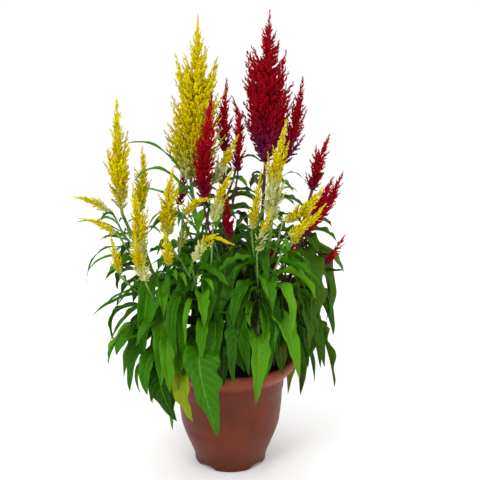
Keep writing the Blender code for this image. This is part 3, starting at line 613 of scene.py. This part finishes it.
def ranged(tree, value, low, high, to_low=0.0, to_high=1.0):
    """The value's way from low to high, as a way from to_low to to_high that it never leaves."""
    inputs = {"Value": value, "From Min": low, "From Max": high, "To Min": to_low, "To Max": to_high}
    return add_node(tree, "MapRange", inputs)


def attribute(tree, name):
    """A number that the mesh holds at each of its points."""
    return add_node(tree, "Attribute", {}, "Fac", attribute_name=name)


def object_place(tree):
    """The place of each point in the object."""
    return add_node(tree, "TexCoord", {}, "Object")


def noise(tree, scale, detail, roughness=0.5):
    """Cloudy noise that is fixed to the object."""
    inputs = {"Vector": object_place(tree), "Scale": scale, "Detail": detail, "Roughness": roughness}
    return add_node(tree, "TexNoise", inputs)


def bump(tree, height, strength, distance, invert=False):
    """The normal of a surface that rises with the height, or sinks where it is inverted."""
    inputs = {"Height": height, "Strength": strength, "Distance": distance}
    return add_node(tree, "Bump", inputs, invert=invert)


def pot_finish():
    """Moulded polypropylene in terracotta brown: half matt, blotched with a little dust, darker towards its
    foot and paler on its rim as a painted highlight.
    """
    made, tree, shader = new_material(
        "moulded_polypropylene_terracotta", {"Roughness": 0.42, "IOR": 1.49, "Specular IOR Level": 0.22},
    )
    height = add_node(tree, "SeparateXYZ", {0: object_place(tree)}, "Z")
    # Darker towards the foot, and paler over the rolled rim: a painted highlight on the lip
    body = colour_ramp(tree, ranged(tree, height, 0, RIM_TOP * MM), [
        (0.0, "#5A2410"), (0.3, "#6A2C14"), (0.7, "#6C2C14"), (0.83, "#702E16"), (0.9, "#883A1E"),
        (1.0, "#944428"),
    ])
    blotches = noise(tree, 22, 5, 0.6)
    grime = colour_ramp(tree, blotches, [(0.3, "#9C9088"), (0.62, "#FFFFFF")])
    feed(shader, {
        "Base Color": blended(tree, "MULTIPLY", 0.55, body, grime),
        "Roughness": ranged(tree, blotches, 0, 1, 0.34, 0.56),
        "Normal": bump(tree, noise(tree, 900, 2), 0.16, 0.0006),
    })
    return made


def soil_finish(name, dark, middle, pale, scale):
    """Damp peat: near black, with browner fibres and a few paler crumbs."""
    made, tree, shader = new_material(name, {"Roughness": 0.95, "IOR": 1.4})
    lumps = noise(tree, scale, 8, 0.7)
    feed(shader, {
        "Base Color": colour_ramp(tree, lumps, [(0.3, dark), (0.55, middle), (0.75, pale)]),
        "Normal": bump(tree, lumps, 0.9, 0.003),
    })
    return made


def leaf_finish(name, deep, middle, bright, aged, rib, flush, flush_share):
    """Living leaf: a satin skin, paler sunken ribs, and a blade that varies from leaf to leaf, darker on the
    lower leaves as painted shade.
    """
    made, tree, shader = new_material(name, {
        "Roughness": 0.42, "IOR": 1.42, "Specular IOR Level": 0.12, "Subsurface Weight": 0.06,
        "Subsurface Radius": (0.6, 1.0, 0.1), "Subsurface Scale": 0.003,
    })
    tones = [(0.0, deep), (0.5, middle), (OLDEST_TONE, bright), (1.0, aged)]
    blade = colour_ramp(tree, attribute(tree, "tone"), tones)
    mottle = noise(tree, 60, 4)
    shade = colour_ramp(tree, mottle, [(0.3, "#B4BCA8"), (0.65, "#FFFFFF")])
    blade = blended(tree, "MULTIPLY", 0.6, blade, shade)
    reach = reckoned(tree, "ABSOLUTE", attribute(tree, "aside"))
    curve = reckoned(tree, "MULTIPLY_ADD", reach, -VEIN_CURVE, -VEIN_LEAN)
    slant = reckoned(tree, "ADD", attribute(tree, "along"), reckoned(tree, "MULTIPLY", reach, curve))
    wave = reckoned(tree, "COSINE", reckoned(tree, "MULTIPLY", slant, VEIN_TURNS))
    veins = reckoned(tree, "MULTIPLY", ranged(tree, wave, 0.7, 1.0), 0.3)
    ribs = reckoned(tree, "MAXIMUM", veins, ranged(tree, reach, 0.08, 0.02))
    blade = blended(tree, "MIX", reckoned(tree, "MULTIPLY", ribs, 0.28), blade, linear(rib))
    flushed = ranged(tree, mottle, 0.45, 0.7, 0.0, flush_share)
    feed(shader, {
        "Base Color": blended(tree, "MIX", flushed, blade, linear(flush)),
        "Normal": bump(tree, ribs, 0.55, 0.0012, invert=True),
    })
    return made


def stem_finish(name, low, high):
    """Ridged stem, with darker furrows and a satin skin."""
    made, tree, shader = new_material(name, {"Roughness": 0.5, "IOR": 1.42})
    colours = colour_ramp(tree, attribute(tree, "aside"), [(0.0, low), (1.0, high)])
    shade = colour_ramp(tree, noise(tree, 240, 3), [(0.3, "#A8A8A8"), (0.65, "#FFFFFF")])
    feed(shader, {"Base Color": blended(tree, "MULTIPLY", 0.6, colours, shade)})
    return made


def floret_finish(name, foot, lower, middle, bright, shaded):
    """Chaffy florets: dry, softly shining bracts, paler or duller in the oldest ones at the plume's foot, with
    painted shade at the bract bases and on the stalks.
    """
    made, tree, shader = new_material(name, {
        "Roughness": 0.6, "IOR": 1.4, "Specular IOR Level": 0.1, "Subsurface Weight": 0.06,
        "Subsurface Radius": (1.0, 0.5, 0.2), "Subsurface Scale": 0.002,
    })
    tone = attribute(tree, "tone")
    wander = reckoned(tree, "MULTIPLY_ADD", tone, 0.16, -0.08)
    height = reckoned(tree, "ADD", attribute(tree, "along"), wander)
    colours = colour_ramp(tree, height, [(0.0, foot), (0.1, lower), (0.24, middle), (1.0, bright)])
    # Painted shade: each bract darkens from its tip towards its base, and the stalks are darkened too
    shade = colour_ramp(tree, attribute(tree, "aside"), [(0.0, shaded), (0.5, "#FFFFFF")])
    colours = blended(tree, "MULTIPLY", 0.8, colours, shade)
    vary = colour_ramp(tree, tone, [(0.0, shaded), (0.45, "#FFFFFF")])
    feed(shader, {"Base Color": blended(tree, "MULTIPLY", 0.6, colours, vary)})
    return made


def as_mesh(shape, name):
    """Turns a bmesh into a mesh and frees it."""
    mesh = bpy.data.meshes.new(name)
    shape.to_mesh(mesh)
    shape.free()
    return mesh


def new_object(name, item):
    """An object of the scene that shows a mesh, a lamp or a camera."""
    made = bpy.data.objects.new(name, item)
    bpy.context.scene.collection.objects.link(made)
    return made


def add_piece(name, shape, finish, node_name, slot):
    """Makes the bmesh an object at the origin that rides on the root and stands for a node of the frame."""
    mesh = as_mesh(shape, name)
    mesh.materials.append(finish)
    piece = new_object(name, mesh)
    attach(piece, "root")
    if node_name:
        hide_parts(node_name)
    return piece


def new_shape():
    """An empty bmesh with the attributes that the materials read."""
    shape = bmesh.new()
    layers = {name: shape.verts.layers.float.new(name) for name in ("along", "aside", "tone")}
    return shape, layers


def smooth(shape):
    """Shades every face smoothly."""
    for face in shape.faces:
        face.smooth = True


def smooth_outside(shape):
    """Turns every face outwards and shades it smoothly."""
    bmesh.ops.recalc_face_normals(shape, faces=shape.faces)
    smooth(shape)


def add_cylinder(shape, radius, depth, sides, matrix):
    """Adds a closed cylinder along the matrix's own Z."""
    bmesh.ops.create_cone(
        shape, cap_ends=True, segments=sides, radius1=radius, radius2=radius, depth=depth, matrix=matrix,
    )


def cylinder_cutter(radius, depth, sides, matrix):
    """A closed cylinder that is cut out of the pot."""
    shape = bmesh.new()
    add_cylinder(shape, radius * MM, depth * MM, sides, matrix)
    return bpy.data.objects.new("cutter", as_mesh(shape, "cutter"))


def make_pot(finish):
    """The pot, spun from its outline, with arches between its feet and drain holes."""
    shape = bmesh.new()
    corners = [shape.verts.new((r * MM, 0, z * MM)) for r, z in INSIDE + ROLLED_RIM + OUTSIDE + UNDERSIDE]
    for start, end in zip(corners, corners[1:]):
        shape.edges.new((start, end))
    bmesh.ops.spin(
        shape, geom=list(shape.verts) + list(shape.edges), cent=(0, 0, 0), axis=UP, angle=math.tau,
        steps=POT_SIDES, use_merge=True,
    )
    bmesh.ops.remove_doubles(shape, verts=shape.verts, dist=0.01 * MM)
    smooth_outside(shape)
    pot = add_piece("pot_finish", shape, finish, "pot", "pot_plastic")
    cutters = bpy.data.collections.new("pot cutters")
    for arch in range(ARCHES):
        outward = Matrix.Rotation(ARCH_TURN + arch * math.tau / ARCHES, 4, "Z")
        lying = Matrix.Translation((FOOT_RADIUS * MM, 0, (ARCH_HEIGHT - ARCH_RADIUS) * MM))
        place = outward @ lying @ Matrix.Rotation(math.pi / 2, 4, "Y")
        cutters.objects.link(cylinder_cutter(ARCH_RADIUS, ARCH_DEPTH, ARCH_SIDES, place))
    for hole in range(DRAIN_HOLES):
        outward = Matrix.Rotation((hole + 0.5) * math.tau / DRAIN_HOLES, 4, "Z")
        place = outward @ Matrix.Translation((DRAIN_CIRCLE * MM, 0, FLOOR_RISE * MM))
        cutters.objects.link(cylinder_cutter(DRAIN_RADIUS, DRAIN_DEPTH, DRAIN_SIDES, place))
    boolean = pot.modifiers.new("cut", "BOOLEAN")
    boolean.operation = "DIFFERENCE"
    boolean.operand_type = "COLLECTION"
    boolean.collection = cutters
    graph = bpy.context.evaluated_depsgraph_get()
    cut_mesh = bpy.data.meshes.new_from_object(pot.evaluated_get(graph))
    pot.modifiers.clear()
    pot.data = cut_mesh
    pot.data.shade_smooth()
    pot.data.set_sharp_from_angle(angle=SHARP_ANGLE)
    for cutter in list(cutters.objects):
        bpy.data.objects.remove(cutter)
    bpy.data.collections.remove(cutters)


def soil_height(away):
    """The height of the soil's top at a distance from its middle."""
    return SOIL_MIDDLE_HEIGHT + (SOIL_EDGE_HEIGHT - SOIL_MIDDLE_HEIGHT) * (away / SOIL_RADIUS) ** 2


def make_soil(finish, crumb_finish):
    """The soil's lumpy top, a smooth side down into the pot, and loose crumbs pressed into it."""
    shape = bmesh.new()
    bmesh.ops.create_grid(shape, x_segments=SOIL_GRID, y_segments=SOIL_GRID, size=SOIL_RADIUS * MM)
    beyond = [vertex for vertex in shape.verts if vertex.co.length > SOIL_RADIUS * MM]
    bmesh.ops.delete(shape, geom=beyond, context="VERTS")
    for vertex in shape.verts:
        if vertex.is_boundary:
            vertex.co *= SOIL_RADIUS * MM / vertex.co.length
    skirt = bmesh.ops.extrude_edge_only(shape, edges=[edge for edge in shape.edges if edge.is_boundary])
    lower = [item for item in skirt["geom"] if isinstance(item, bmesh.types.BMVert)]
    chance = random.Random("soil")
    for vertex in shape.verts:
        vertex.co.z = (soil_height(vertex.co.length / MM) + chance.uniform(-SOIL_LUMP, 0)) * MM
    for vertex in lower:
        vertex.co = (vertex.co.x * SOIL_FOOT_SHARE, vertex.co.y * SOIL_FOOT_SHARE, SOIL_FOOT_HEIGHT * MM)
    bmesh.ops.holes_fill(shape, edges=[edge for edge in shape.edges if edge.is_boundary], sides=0)
    smooth_outside(shape)
    add_piece("soil_top", shape, finish, "soil", "potting_soil")
    crumbs = bmesh.new()
    for number in range(CRUMBS):
        angle = number * GOLDEN_ANGLE
        away = math.sqrt((number + 0.5) / CRUMBS) * (SOIL_RADIUS - CRUMB_BORDER)
        size = chance.uniform(*CRUMB_SIZES) * MM
        place = Matrix.Translation(towards(angle) * away * MM + UP * (soil_height(away) - CRUMB_SINK) * MM)
        turn = Matrix.Rotation(chance.uniform(0, math.tau), 4, (chance.random(), chance.random(), 1))
        flat = Matrix.Diagonal((1, chance.uniform(0.5, 1), chance.uniform(0.35, 0.8), 1))
        bmesh.ops.create_icosphere(crumbs, subdivisions=1, radius=size, matrix=place @ turn @ flat)
    add_piece("soil_crumbs", crumbs, crumb_finish, None, "potting_soil")


def ringed_tube(shape, route, radii, sides, rings):
    """Adds a closed round tube along a route, with shallow ridges that the stem's colours follow."""
    tube, layers = new_shape()
    add_cylinder(tube, 1, 1, sides, Matrix.Translation((0, 0, 0.5)))
    upright = [edge for edge in tube.edges if abs(edge.verts[0].co.z - edge.verts[1].co.z) > 0.5]
    bmesh.ops.subdivide_edges(tube, edges=upright, cuts=rings - 1)
    frames = []
    for ring in range(rings + 1):
        share = ring / rings
        heading = route.heading(share)
        across = heading.cross(SIDEWAYS).normalized()
        radius = (radii[0] + (radii[1] - radii[0]) * share) * MM
        frames.append((route.at(share), across, heading.cross(across), radius))
    for vertex in tube.verts:
        ring = round(vertex.co.z * rings)
        angle = math.atan2(vertex.co.y, vertex.co.x)
        ridge = 0.5 + 0.5 * math.cos(angle * sides / 2)
        place, across, onward, radius = frames[ring]
        vertex[layers["along"]] = ring / rings
        vertex[layers["aside"]] = ridge
        vertex[layers["tone"]] = 0.5
        radius *= 0.9 + 0.1 * ridge
        vertex.co = place + (across * math.cos(angle) + onward * math.sin(angle)) * radius
    mesh = as_mesh(tube, "tube")
    shape.from_mesh(mesh)
    bpy.data.meshes.remove(mesh)


def shoot_route(head, main):
    """The line of a side shoot, from the main stem to the foot of its plume."""
    start = main.at_height(head.fork * MM)
    end, neck = below_plume(head)
    reach = neck - start
    rising = start + reach * SHOOT_BEND + Vector((reach.x, reach.y, 0)) * SHOOT_SWAY
    return Route([start, rising, neck, end])


def make_stems(plant, main, finish):
    """The plant's main stem, from its foot in the soil, and its side shoots."""
    shape, _ = new_shape()
    foot = Vector(plant.stem[0]) * MM
    foot.z = STEM_FOOT_HEIGHT * MM
    ringed_tube(shape, stem_route(plant, foot), STEM_RADII, 12, 40)
    for head in HEADS[plant.name]:
        if head.fork is not None:
            ringed_tube(shape, shoot_route(head, main), SHOOT_RADII, 8, 16)
    smooth(shape)
    add_piece("stems_" + plant.name, shape, finish, "leafy_stem_" + plant.name, LEAF_SLOTS[plant.colour])


def leaf_frame(leaf):
    """The leaf's rib as a curve, with its heading and the way across the blade at each share."""
    root, middle, tip, _, roll = leaf
    control = 2 * middle - (root + tip) / 2
    reach = Vector((tip.x - root.x, tip.y - root.y, 0))
    level = UP.cross(reach).normalized()

    def at(share):
        place = (1 - share) ** 2 * root + 2 * share * (1 - share) * control + share**2 * tip
        heading = ((1 - share) * (control - root) + share * (tip - control)).normalized()
        across = (level - heading * level.dot(heading)).normalized()
        return place, heading, Matrix.Rotation(roll, 3, heading) @ across

    return at


def signature(leaf):
    """Three corners of the plain leaf that a solid with this leaf has."""
    tip, width = leaf[2:4]
    share = BROAD_STATION if width > BROAD else NARROW_STATION if width < NARROW else MIDDLING_STATION
    place, _, across = leaf_frame(leaf)(share)
    half = max(PETIOLE_HALF_WIDTH, outline(share) * width / 2)
    return tip, place + across * half, place - across * half


def chosen_leaf(tries, corners):
    """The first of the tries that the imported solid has, or None where the solid left this leaf out."""
    for leaf in tries:
        if reachable(leaf[2]) and all(corners.find(corner)[2] < MATCH for corner in signature(leaf)):
            return leaf
    return None


def add_leaf(shape, layers, leaf, chance, tone):
    """One leaf blade: a grid bent along its rib, folded up from the rib and waved at its edge."""
    width = leaf[3]
    broad = width > NARROW
    lengthways = 42 if width > NARROW * 1.6 else 26 if broad else 14
    sideways = 8 if broad else 4
    made = bmesh.ops.create_grid(shape, x_segments=lengthways, y_segments=sideways, size=0.5)["verts"]
    at = leaf_frame(leaf)
    frames = [at(step / lengthways) for step in range(lengthways + 1)]
    fold = chance.uniform(*FOLDS)
    waves = chance.uniform(*WAVES)
    phase = chance.uniform(0, math.tau)
    wave_depth = chance.uniform(*WAVE_DEPTHS)
    twist = chance.uniform(-TWIST, TWIST)
    for vertex in made:
        share = vertex.co.x + 0.5
        side = vertex.co.y * 2
        away = abs(side)
        place, heading, across = frames[round(share * lengthways)]
        edge = 1 + EDGE_WAVE * math.sin(share * waves * 1.6 * math.tau + phase + 2 * side)
        half = max(PETIOLE_HALF_WIDTH * (1 - share), outline(share) * width / 2 * edge, BLADE_EDGE)
        across = Matrix.Rotation(twist * share, 3, heading) @ across
        face = heading.cross(across)
        vein = math.cos(VEIN_TURNS * (share - VEIN_LEAN * away - VEIN_CURVE * side**2))
        rise = away * fold - side * side * 0.1 * fold
        rise += wave_depth * side * away * math.sin(share * waves * math.tau + phase + side)
        rise += QUILT * (1 - away) * away * 4 * vein
        vertex.co = place + across * side * half * (1 - 0.12 * fold) + face * rise * half
        vertex[layers["along"]] = share
        vertex[layers["aside"]] = side
        vertex[layers["tone"]] = tone


def keep_inside(shape, margin=0.0):
    """Moves every point that is beyond the frame's box, or closer to it than the margin, back inside."""
    for vertex in shape.verts:
        spans = zip(cad_low, vertex.co, cad_high)
        vertex.co = [min(max(value, low + margin), high - margin) for low, value, high in spans]


def make_leaves(plant, main, corners, finish):
    """The leaves that the plant's solid has, and the finer ones that thicken its foliage."""
    shape, layers = new_shape()
    chance = random.Random("leaves " + plant.name)
    spiral = random.Random(plant.name)
    foliage = FOLIAGE[plant.name]
    tries = [front_leaf_tries(leaf, main) for leaf in FRONT_LEAVES[plant.name]]
    tries += [spiral_leaf_tries(foliage, main, number, spiral) for number in range(foliage[2])]
    for leaf in filter(None, [chosen_leaf(leaf_tries, corners) for leaf_tries in tries]):
        height = leaf[0].z / MM
        # Lower leaves get darker tones and upper ones paler: painted shade within the foliage, plus a random
        # tone from leaf to leaf
        tone = 0.2 + 0.5 * min(max((height - 180) / 200, 0), 1) + chance.uniform(-0.35, 0.4)
        old = height < OLD_LEAF_HEIGHT and chance.random() < OLD_LEAVES
        add_leaf(shape, layers, leaf, chance, 1.0 if old else min(max(tone, 0), OLDEST_TONE))
    for leaf in HANGING_LEAVES.get(plant.name, ()):
        add_leaf(shape, layers, next(front_leaf_tries(leaf, main)), chance, chance.uniform(0.1, 0.6))
    for leaf in between_leaves(plant, main, chance):
        add_leaf(shape, layers, leaf, chance, chance.uniform(0.0, 0.7))
    for leaf in small_leaves(plant, main, chance):
        add_leaf(shape, layers, leaf, chance, chance.uniform(0.3, OLDEST_TONE))
    keep_inside(shape, BLADE_THICKNESS)
    bmesh.ops.solidify(shape, geom=list(shape.faces), thickness=BLADE_THICKNESS)
    smooth_outside(shape)
    add_piece("leaves_" + plant.name, shape, finish, "leafy_stem_" + plant.name, LEAF_SLOTS[plant.colour])


def clear_of_pot(leaf):
    """Whether the leaf's rib stays over the soil or outside the rim."""
    at = leaf_frame(leaf)
    for step in range(3, 13):
        place = at(step / 12)[0] / MM
        away = place.xy.length
        if away < POT_OUTSIDE and place.z < (RIM_TOP + 6 if away > POT_INSIDE else SOIL_MIDDLE_HEIGHT + 4):
            return False
    return True


def before_pot(tip):
    """Whether a tip hangs over the front of the pot, which the photograph shows nearly bare there."""
    return tip.y < 0 and tip.z < RIM_TOP * MM and tip.x > -0.07


def between_leaves(plant, main, chance):
    """More leaves of the plant's own spiral, between those of the solids, which thicken its foliage."""
    lowest, highest, _ = FOLIAGE[plant.name]
    thicker = (min(lowest, BETWEEN_FROM), highest, BETWEEN_LEAVES)
    for number in range(BETWEEN_LEAVES):
        for root, middle, tip, width, roll in spiral_leaf_tries(thicker, main, number + 0.5, chance):
            leaf = (root, middle, tip, width * 0.85, roll)
            if reachable(tip) and clear_of_pot(leaf) and leaf_inside_box(leaf) and not before_pot(tip):
                yield leaf
                break


def small_leaves(plant, main, chance):
    """The narrow leaves on the side shoots and in the forks, too fine for the solids."""
    for head in HEADS[plant.name]:
        forked = head.fork is not None
        line = shoot_route(head, main) if forked else main
        for number in range(SMALL_LEAVES):
            root = line.at(0.35 + 0.15 * number if forked else 0.62 + 0.1 * number)
            out = towards(number * GOLDEN_ANGLE + chance.uniform(0, math.tau))
            size = chance.uniform(22, 44) * MM
            middle = root + out * size * 0.45 + UP * size * 0.28
            tip = root + out * size * 0.9 + UP * size * chance.uniform(-0.15, 0.3)
            if inside_box(tip) and inside_box(middle):
                yield root, middle, tip, chance.uniform(4, 8) * MM, chance.uniform(-0.3, 0.3)


def inside_box(place, margin=3 * MM):
    """Whether a place is inside the frame's box with a margin to spare."""
    return all(low + margin < value < high - margin for low, value, high in zip(cad_low, place, cad_high))


def leaf_inside_box(leaf):
    """Whether the leaf's rib is inside the frame's box, with room for its width."""
    at = leaf_frame(leaf)
    return all(inside_box(at(step / 6)[0], leaf[3] / 4) for step in range(1, 7))


def spray_template(number):
    """A short side branch of the plume, one unit long: pointed bracts in a close spiral up a thin stalk."""
    chance = random.Random("spray" + str(number))
    spray, layers = new_shape()
    for low, high, thick, thin in ((0.0, 0.4, 0.05, 0.12), (0.4, 0.98, 0.12, 0.01)):
        core = bmesh.ops.create_cone(
            spray, cap_ends=False, segments=4, radius1=thick, radius2=thin, depth=high - low,
            matrix=Matrix.Translation((0, 0, (low + high) / 2)),
        )["verts"]
        # A low share, which the finish paints in shade on the stalk
        for vertex in core:
            vertex[layers["aside"]] = 0.2
    for bract in range(BRACTS):
        share = (bract + 0.3) / BRACTS
        length = (0.29 - 0.08 * share) * chance.uniform(0.85, 1.2)
        width = length * chance.uniform(0.4, 0.5)
        made = bmesh.ops.create_uvsphere(
            spray, u_segments=4, v_segments=2, radius=1, matrix=Matrix.Translation((0, 0, 1)),
        )["verts"]
        # Each bract's share from its base to its tip, which the finish paints in shade at the base
        for vertex in made:
            vertex[layers["aside"]] = vertex.co.z / 2
        lean = math.radians(31 - 19 * share + chance.uniform(-7, 7))
        place = (
            Matrix.Translation((0, 0, share * 0.8))
            @ Matrix.Rotation(bract * GOLDEN_ANGLE, 4, "Z")
            @ Matrix.Rotation(lean, 4, "Y")
            @ Matrix.Diagonal((width * 0.7, width, length / 2, 1))
        )
        bmesh.ops.transform(spray, matrix=place, verts=made)
    for vertex in spray.verts:
        vertex.co.x += SPRAY_CURL * vertex.co.z**2
    return as_mesh(spray, "spray")


def plume_girth(share, girth):
    """How far the florets reach from the spire's axis."""
    core = CORE_SHARE * min(1.0, CORE_FOOT + CORE_SWELL * share) * max(1 - share, 0.0) ** CORE_TAPER
    reach = (1 - CORE_SHARE) * (0.6 + 0.4 * math.sin(math.pi * min(share + 0.25, 1)))
    return girth * MM * (core + reach) * (1 - 0.6 * share**2)


def flame_reach(flame, share):
    """The reach between the two nearest points of a flame outline."""
    for (low, first), (high, second) in zip(flame, flame[1:]):
        if share <= high:
            return first + (second - first) * (share - low) / (high - low)
    return flame[-1][1]


def outer_spires(head, main, chance):
    """The many small spires that fan out of the plume's axis into its flame outline, with their girths."""
    big = head.girth > BIG_PLUME
    flame = FLAMES[head.name] if big else [(share, reach * head.girth) for share, reach in FLAME]
    count = BIG_SPRAYS if big else round(SPRAYS_PER_GIRTH * head.girth)
    widest = max(reach for _, reach in flame)
    length = main.length / MM
    for number in range(count):
        tip_share = 0.1 + 0.82 * (number + chance.uniform(0, 1)) / count
        reach = flame_reach(flame, tip_share) * chance.uniform(0.55, 1.05)
        rise = reach * chance.uniform(0.95, 1.7) + 0.03 * length
        start = main.at(max(tip_share - rise / length, 0.0))
        angle = number * GOLDEN_ANGLE + chance.uniform(-0.3, 0.3)
        out = towards(angle) * reach * MM
        tip = main.at(tip_share) + out
        bend = start.lerp(tip, 0.5) + out * chance.uniform(0.02, 0.16)
        girth = BIG_SPRAY_GIRTH if big else max(head.girth * 0.58, 5)
        girth *= 0.25 + 0.75 * min(flame_reach(flame, tip_share) / (0.75 * widest), 1)
        yield Route([start, bend, tip], 8), girth * chance.uniform(0.8, 1.15)


def add_spire(shape, route, girth, spacing, bare, sprays, chance, plump):
    """Places sprays in a close spiral up a spire, leaning out at its foot and closing in at its tip."""
    count = max(8, round(route.length * (1 - bare) / (spacing * MM)))
    for number in range(count):
        share = bare + (1 - bare) * (number + 0.5) / count
        lean = math.radians(52 - 36 * share**1.5 + chance.uniform(-9, 9))
        length = plume_girth(share, girth) * chance.uniform(0.72, 1.5) / max(math.sin(lean), 0.45)
        length = min(length, LONGEST_SPRAY * MM)
        foot = max(0, share - 0.9 * length * math.cos(lean) / route.length)
        heading = route.heading(foot)
        across = heading.cross(SIDEWAYS).normalized()
        angle = number * GOLDEN_ANGLE + chance.uniform(-0.4, 0.4)
        outward = across * math.cos(angle) + heading.cross(across) * math.sin(angle)
        way = heading * math.cos(lean) + outward * math.sin(lean)
        inward = (heading - way * heading.dot(way)).normalized()
        turn = Matrix((inward, way.cross(inward), way)).transposed().to_4x4()
        place = Matrix.Translation(route.at(foot) + outward * girth * MM * 0.08)
        size = Matrix.Diagonal((plump * length, plump * length, length, 1))
        spray = sprays[number % len(sprays)].copy()
        spray.transform(place @ turn @ size)
        tone = chance.random()
        spray.attributes["tone"].data.foreach_set("value", [tone] * len(spray.vertices))
        shape.from_mesh(spray)
        bpy.data.meshes.remove(spray)


def make_plume(head, colour, sprays, finish):
    """One plume: its spires' sprays, and the thin stalks that carry them."""
    node_name = "plume_" + head.name
    chance = random.Random("florets " + node_name)
    shape, layers = new_shape()
    main = plume_route(head)
    big = head.girth > BIG_PLUME
    plump = PLUMP if big else 1.0
    add_spire(shape, main, head.girth * (0.55 if big else 0.9), MAIN_SPACING, 0, sprays, chance, plump)
    side_girth = min(SIDE_GIRTH, head.girth * SIDE_GIRTH_SHARE)
    spires = [(side_route(main, spire), side_girth * 0.8) for spire in head.spires]
    spires.extend(outer_spires(head, main, chance))
    spacing = SIDE_SPACING if big else MAIN_SPACING * 1.3
    for route, girth in spires:
        add_spire(shape, route, girth, spacing, SPIRE_BARE, sprays, chance, plump)
    stalks_from = len(shape.verts)
    ringed_tube(shape, main, AXIS_RADII, 6, 14)
    for route, _ in spires:
        ringed_tube(shape, route, SPIRE_RADII, 5, 8)
    shape.verts.ensure_lookup_table()
    # The stalks take a low share, which the finish paints in shade
    for vertex in shape.verts[stalks_from:]:
        vertex[layers["aside"]] = AXIS_SHADE
    faded = FADED.get(head.name, 0.0)
    foot = main.at(0)
    way = main.at(1) - foot
    for vertex in shape.verts:
        height = (vertex.co - foot).dot(way) / way.length_squared
        vertex[layers["along"]] = (height - faded) / (1 - faded)
    keep_inside(shape)
    add_piece("florets_" + node_name, shape, finish, node_name, colour + "_florets")


def make_stage():
    """A plain pale floor, soft light from above and in front, and the camera at the photograph's angle."""
    shape = bmesh.new()
    bmesh.ops.create_grid(shape, x_segments=1, y_segments=1, size=6)
    bmesh.ops.translate(shape, verts=shape.verts, vec=(0, 0, -0.0005))
    floor = new_object("floor", as_mesh(shape, "floor"))
    paper = {"Base Color": (1, 1, 1, 1), "Roughness": 0.9, "IOR": 1.4}
    floor.data.materials.append(new_material("plain_pale_floor", paper)[0])
    floor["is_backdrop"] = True
    world = bpy.data.worlds.new("studio")
    bpy.context.scene.world = world
    world.use_nodes = True
    feed(world.node_tree.nodes["Background"], {"Color": (1, 1, 1, 1), "Strength": WORLD_LIGHT})
    for name, place, power, size in LIGHTS:
        lamp = bpy.data.lights.new(name, "AREA")
        lamp.energy = power
        lamp.size = size
        light = new_object(name, lamp)
        light.location = place
        light.rotation_euler = (Vector(LIT_PLACE) - Vector(place)).to_track_quat("-Z", "Y").to_euler()
    lens = bpy.data.cameras.new("camera")
    lens.lens = CAMERA_LENS
    lens.sensor_width = 36
    camera = new_object("camera", lens)
    camera.location = CAMERA_PLACE
    camera.rotation_euler = (math.radians(90 - CAMERA_PITCH), 0, 0)
    bpy.context.scene.camera = camera
    bpy.context.scene.view_settings.view_transform = "Standard"


def dress_plants():
    """Makes every plant's stems and leaves, then all the plumes."""
    sprays = [spray_template(number) for number in range(SPRAYS)]
    plume_finishes = {
        "yellow": floret_finish(
            "yellow_celosia_florets", "#D2D890", "#CCC838", "#D6C400", "#E6DA04", "#A89408",
        ),
        "red": floret_finish(
            "crimson_celosia_florets", "#7E2450", "#8E0E38", "#A00218", "#B80818", "#80303C",
        ),
    }
    leaf_finishes = {
        "yellow": leaf_finish(
            "green_celosia_leaf", "#143C00", "#387802", "#62A010", "#8A9A14", "#98C04C", "#2A5800", 0.3,
        ),
        "red": leaf_finish(
            "olive_celosia_leaf", "#1C4000", "#386608", "#5E8C18", "#7A8A14", "#88A04C", "#4A3010", 0.4,
        ),
    }
    stem_finishes = {
        "yellow": stem_finish("green_celosia_stem", "#4C7A28", "#8FB55A"),
        "red": stem_finish("maroon_celosia_stem", "#4A1020", "#8A2C48"),
    }
    for plant in PLANTS:
        main = stem_route(plant)
        solid = frame["nodes"]["leafy_stem_" + plant.name].data
        corners = kdtree.KDTree(len(solid.vertices))
        for vertex in solid.vertices:
            corners.insert(vertex.co, vertex.index)
        corners.balance()
        make_stems(plant, main, stem_finishes[plant.colour])
        make_leaves(plant, main, corners, leaf_finishes[plant.colour])
    colours = {plant.name: plant.colour for plant in PLANTS}
    for plant_name, heads in HEADS.items():
        colour = colours[plant_name]
        for head in heads:
            make_plume(head, colour, sprays, plume_finishes[colour])


def as_lists(box):
    """A box's two corners as plain numbers."""
    return [[round(value, 6) for value in corner] for corner in box]


make_pot(pot_finish())
make_soil(
    soil_finish("damp_peat", "#0A0705", "#1C120B", "#33241A", 130),
    soil_finish("peat_crumbs", "#120C08", "#2A1C12", "#4A3828", 60),
)
dress_plants()
make_stage()

{"cad": as_lists((cad_low, cad_high)), "visual": as_lists(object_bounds())}
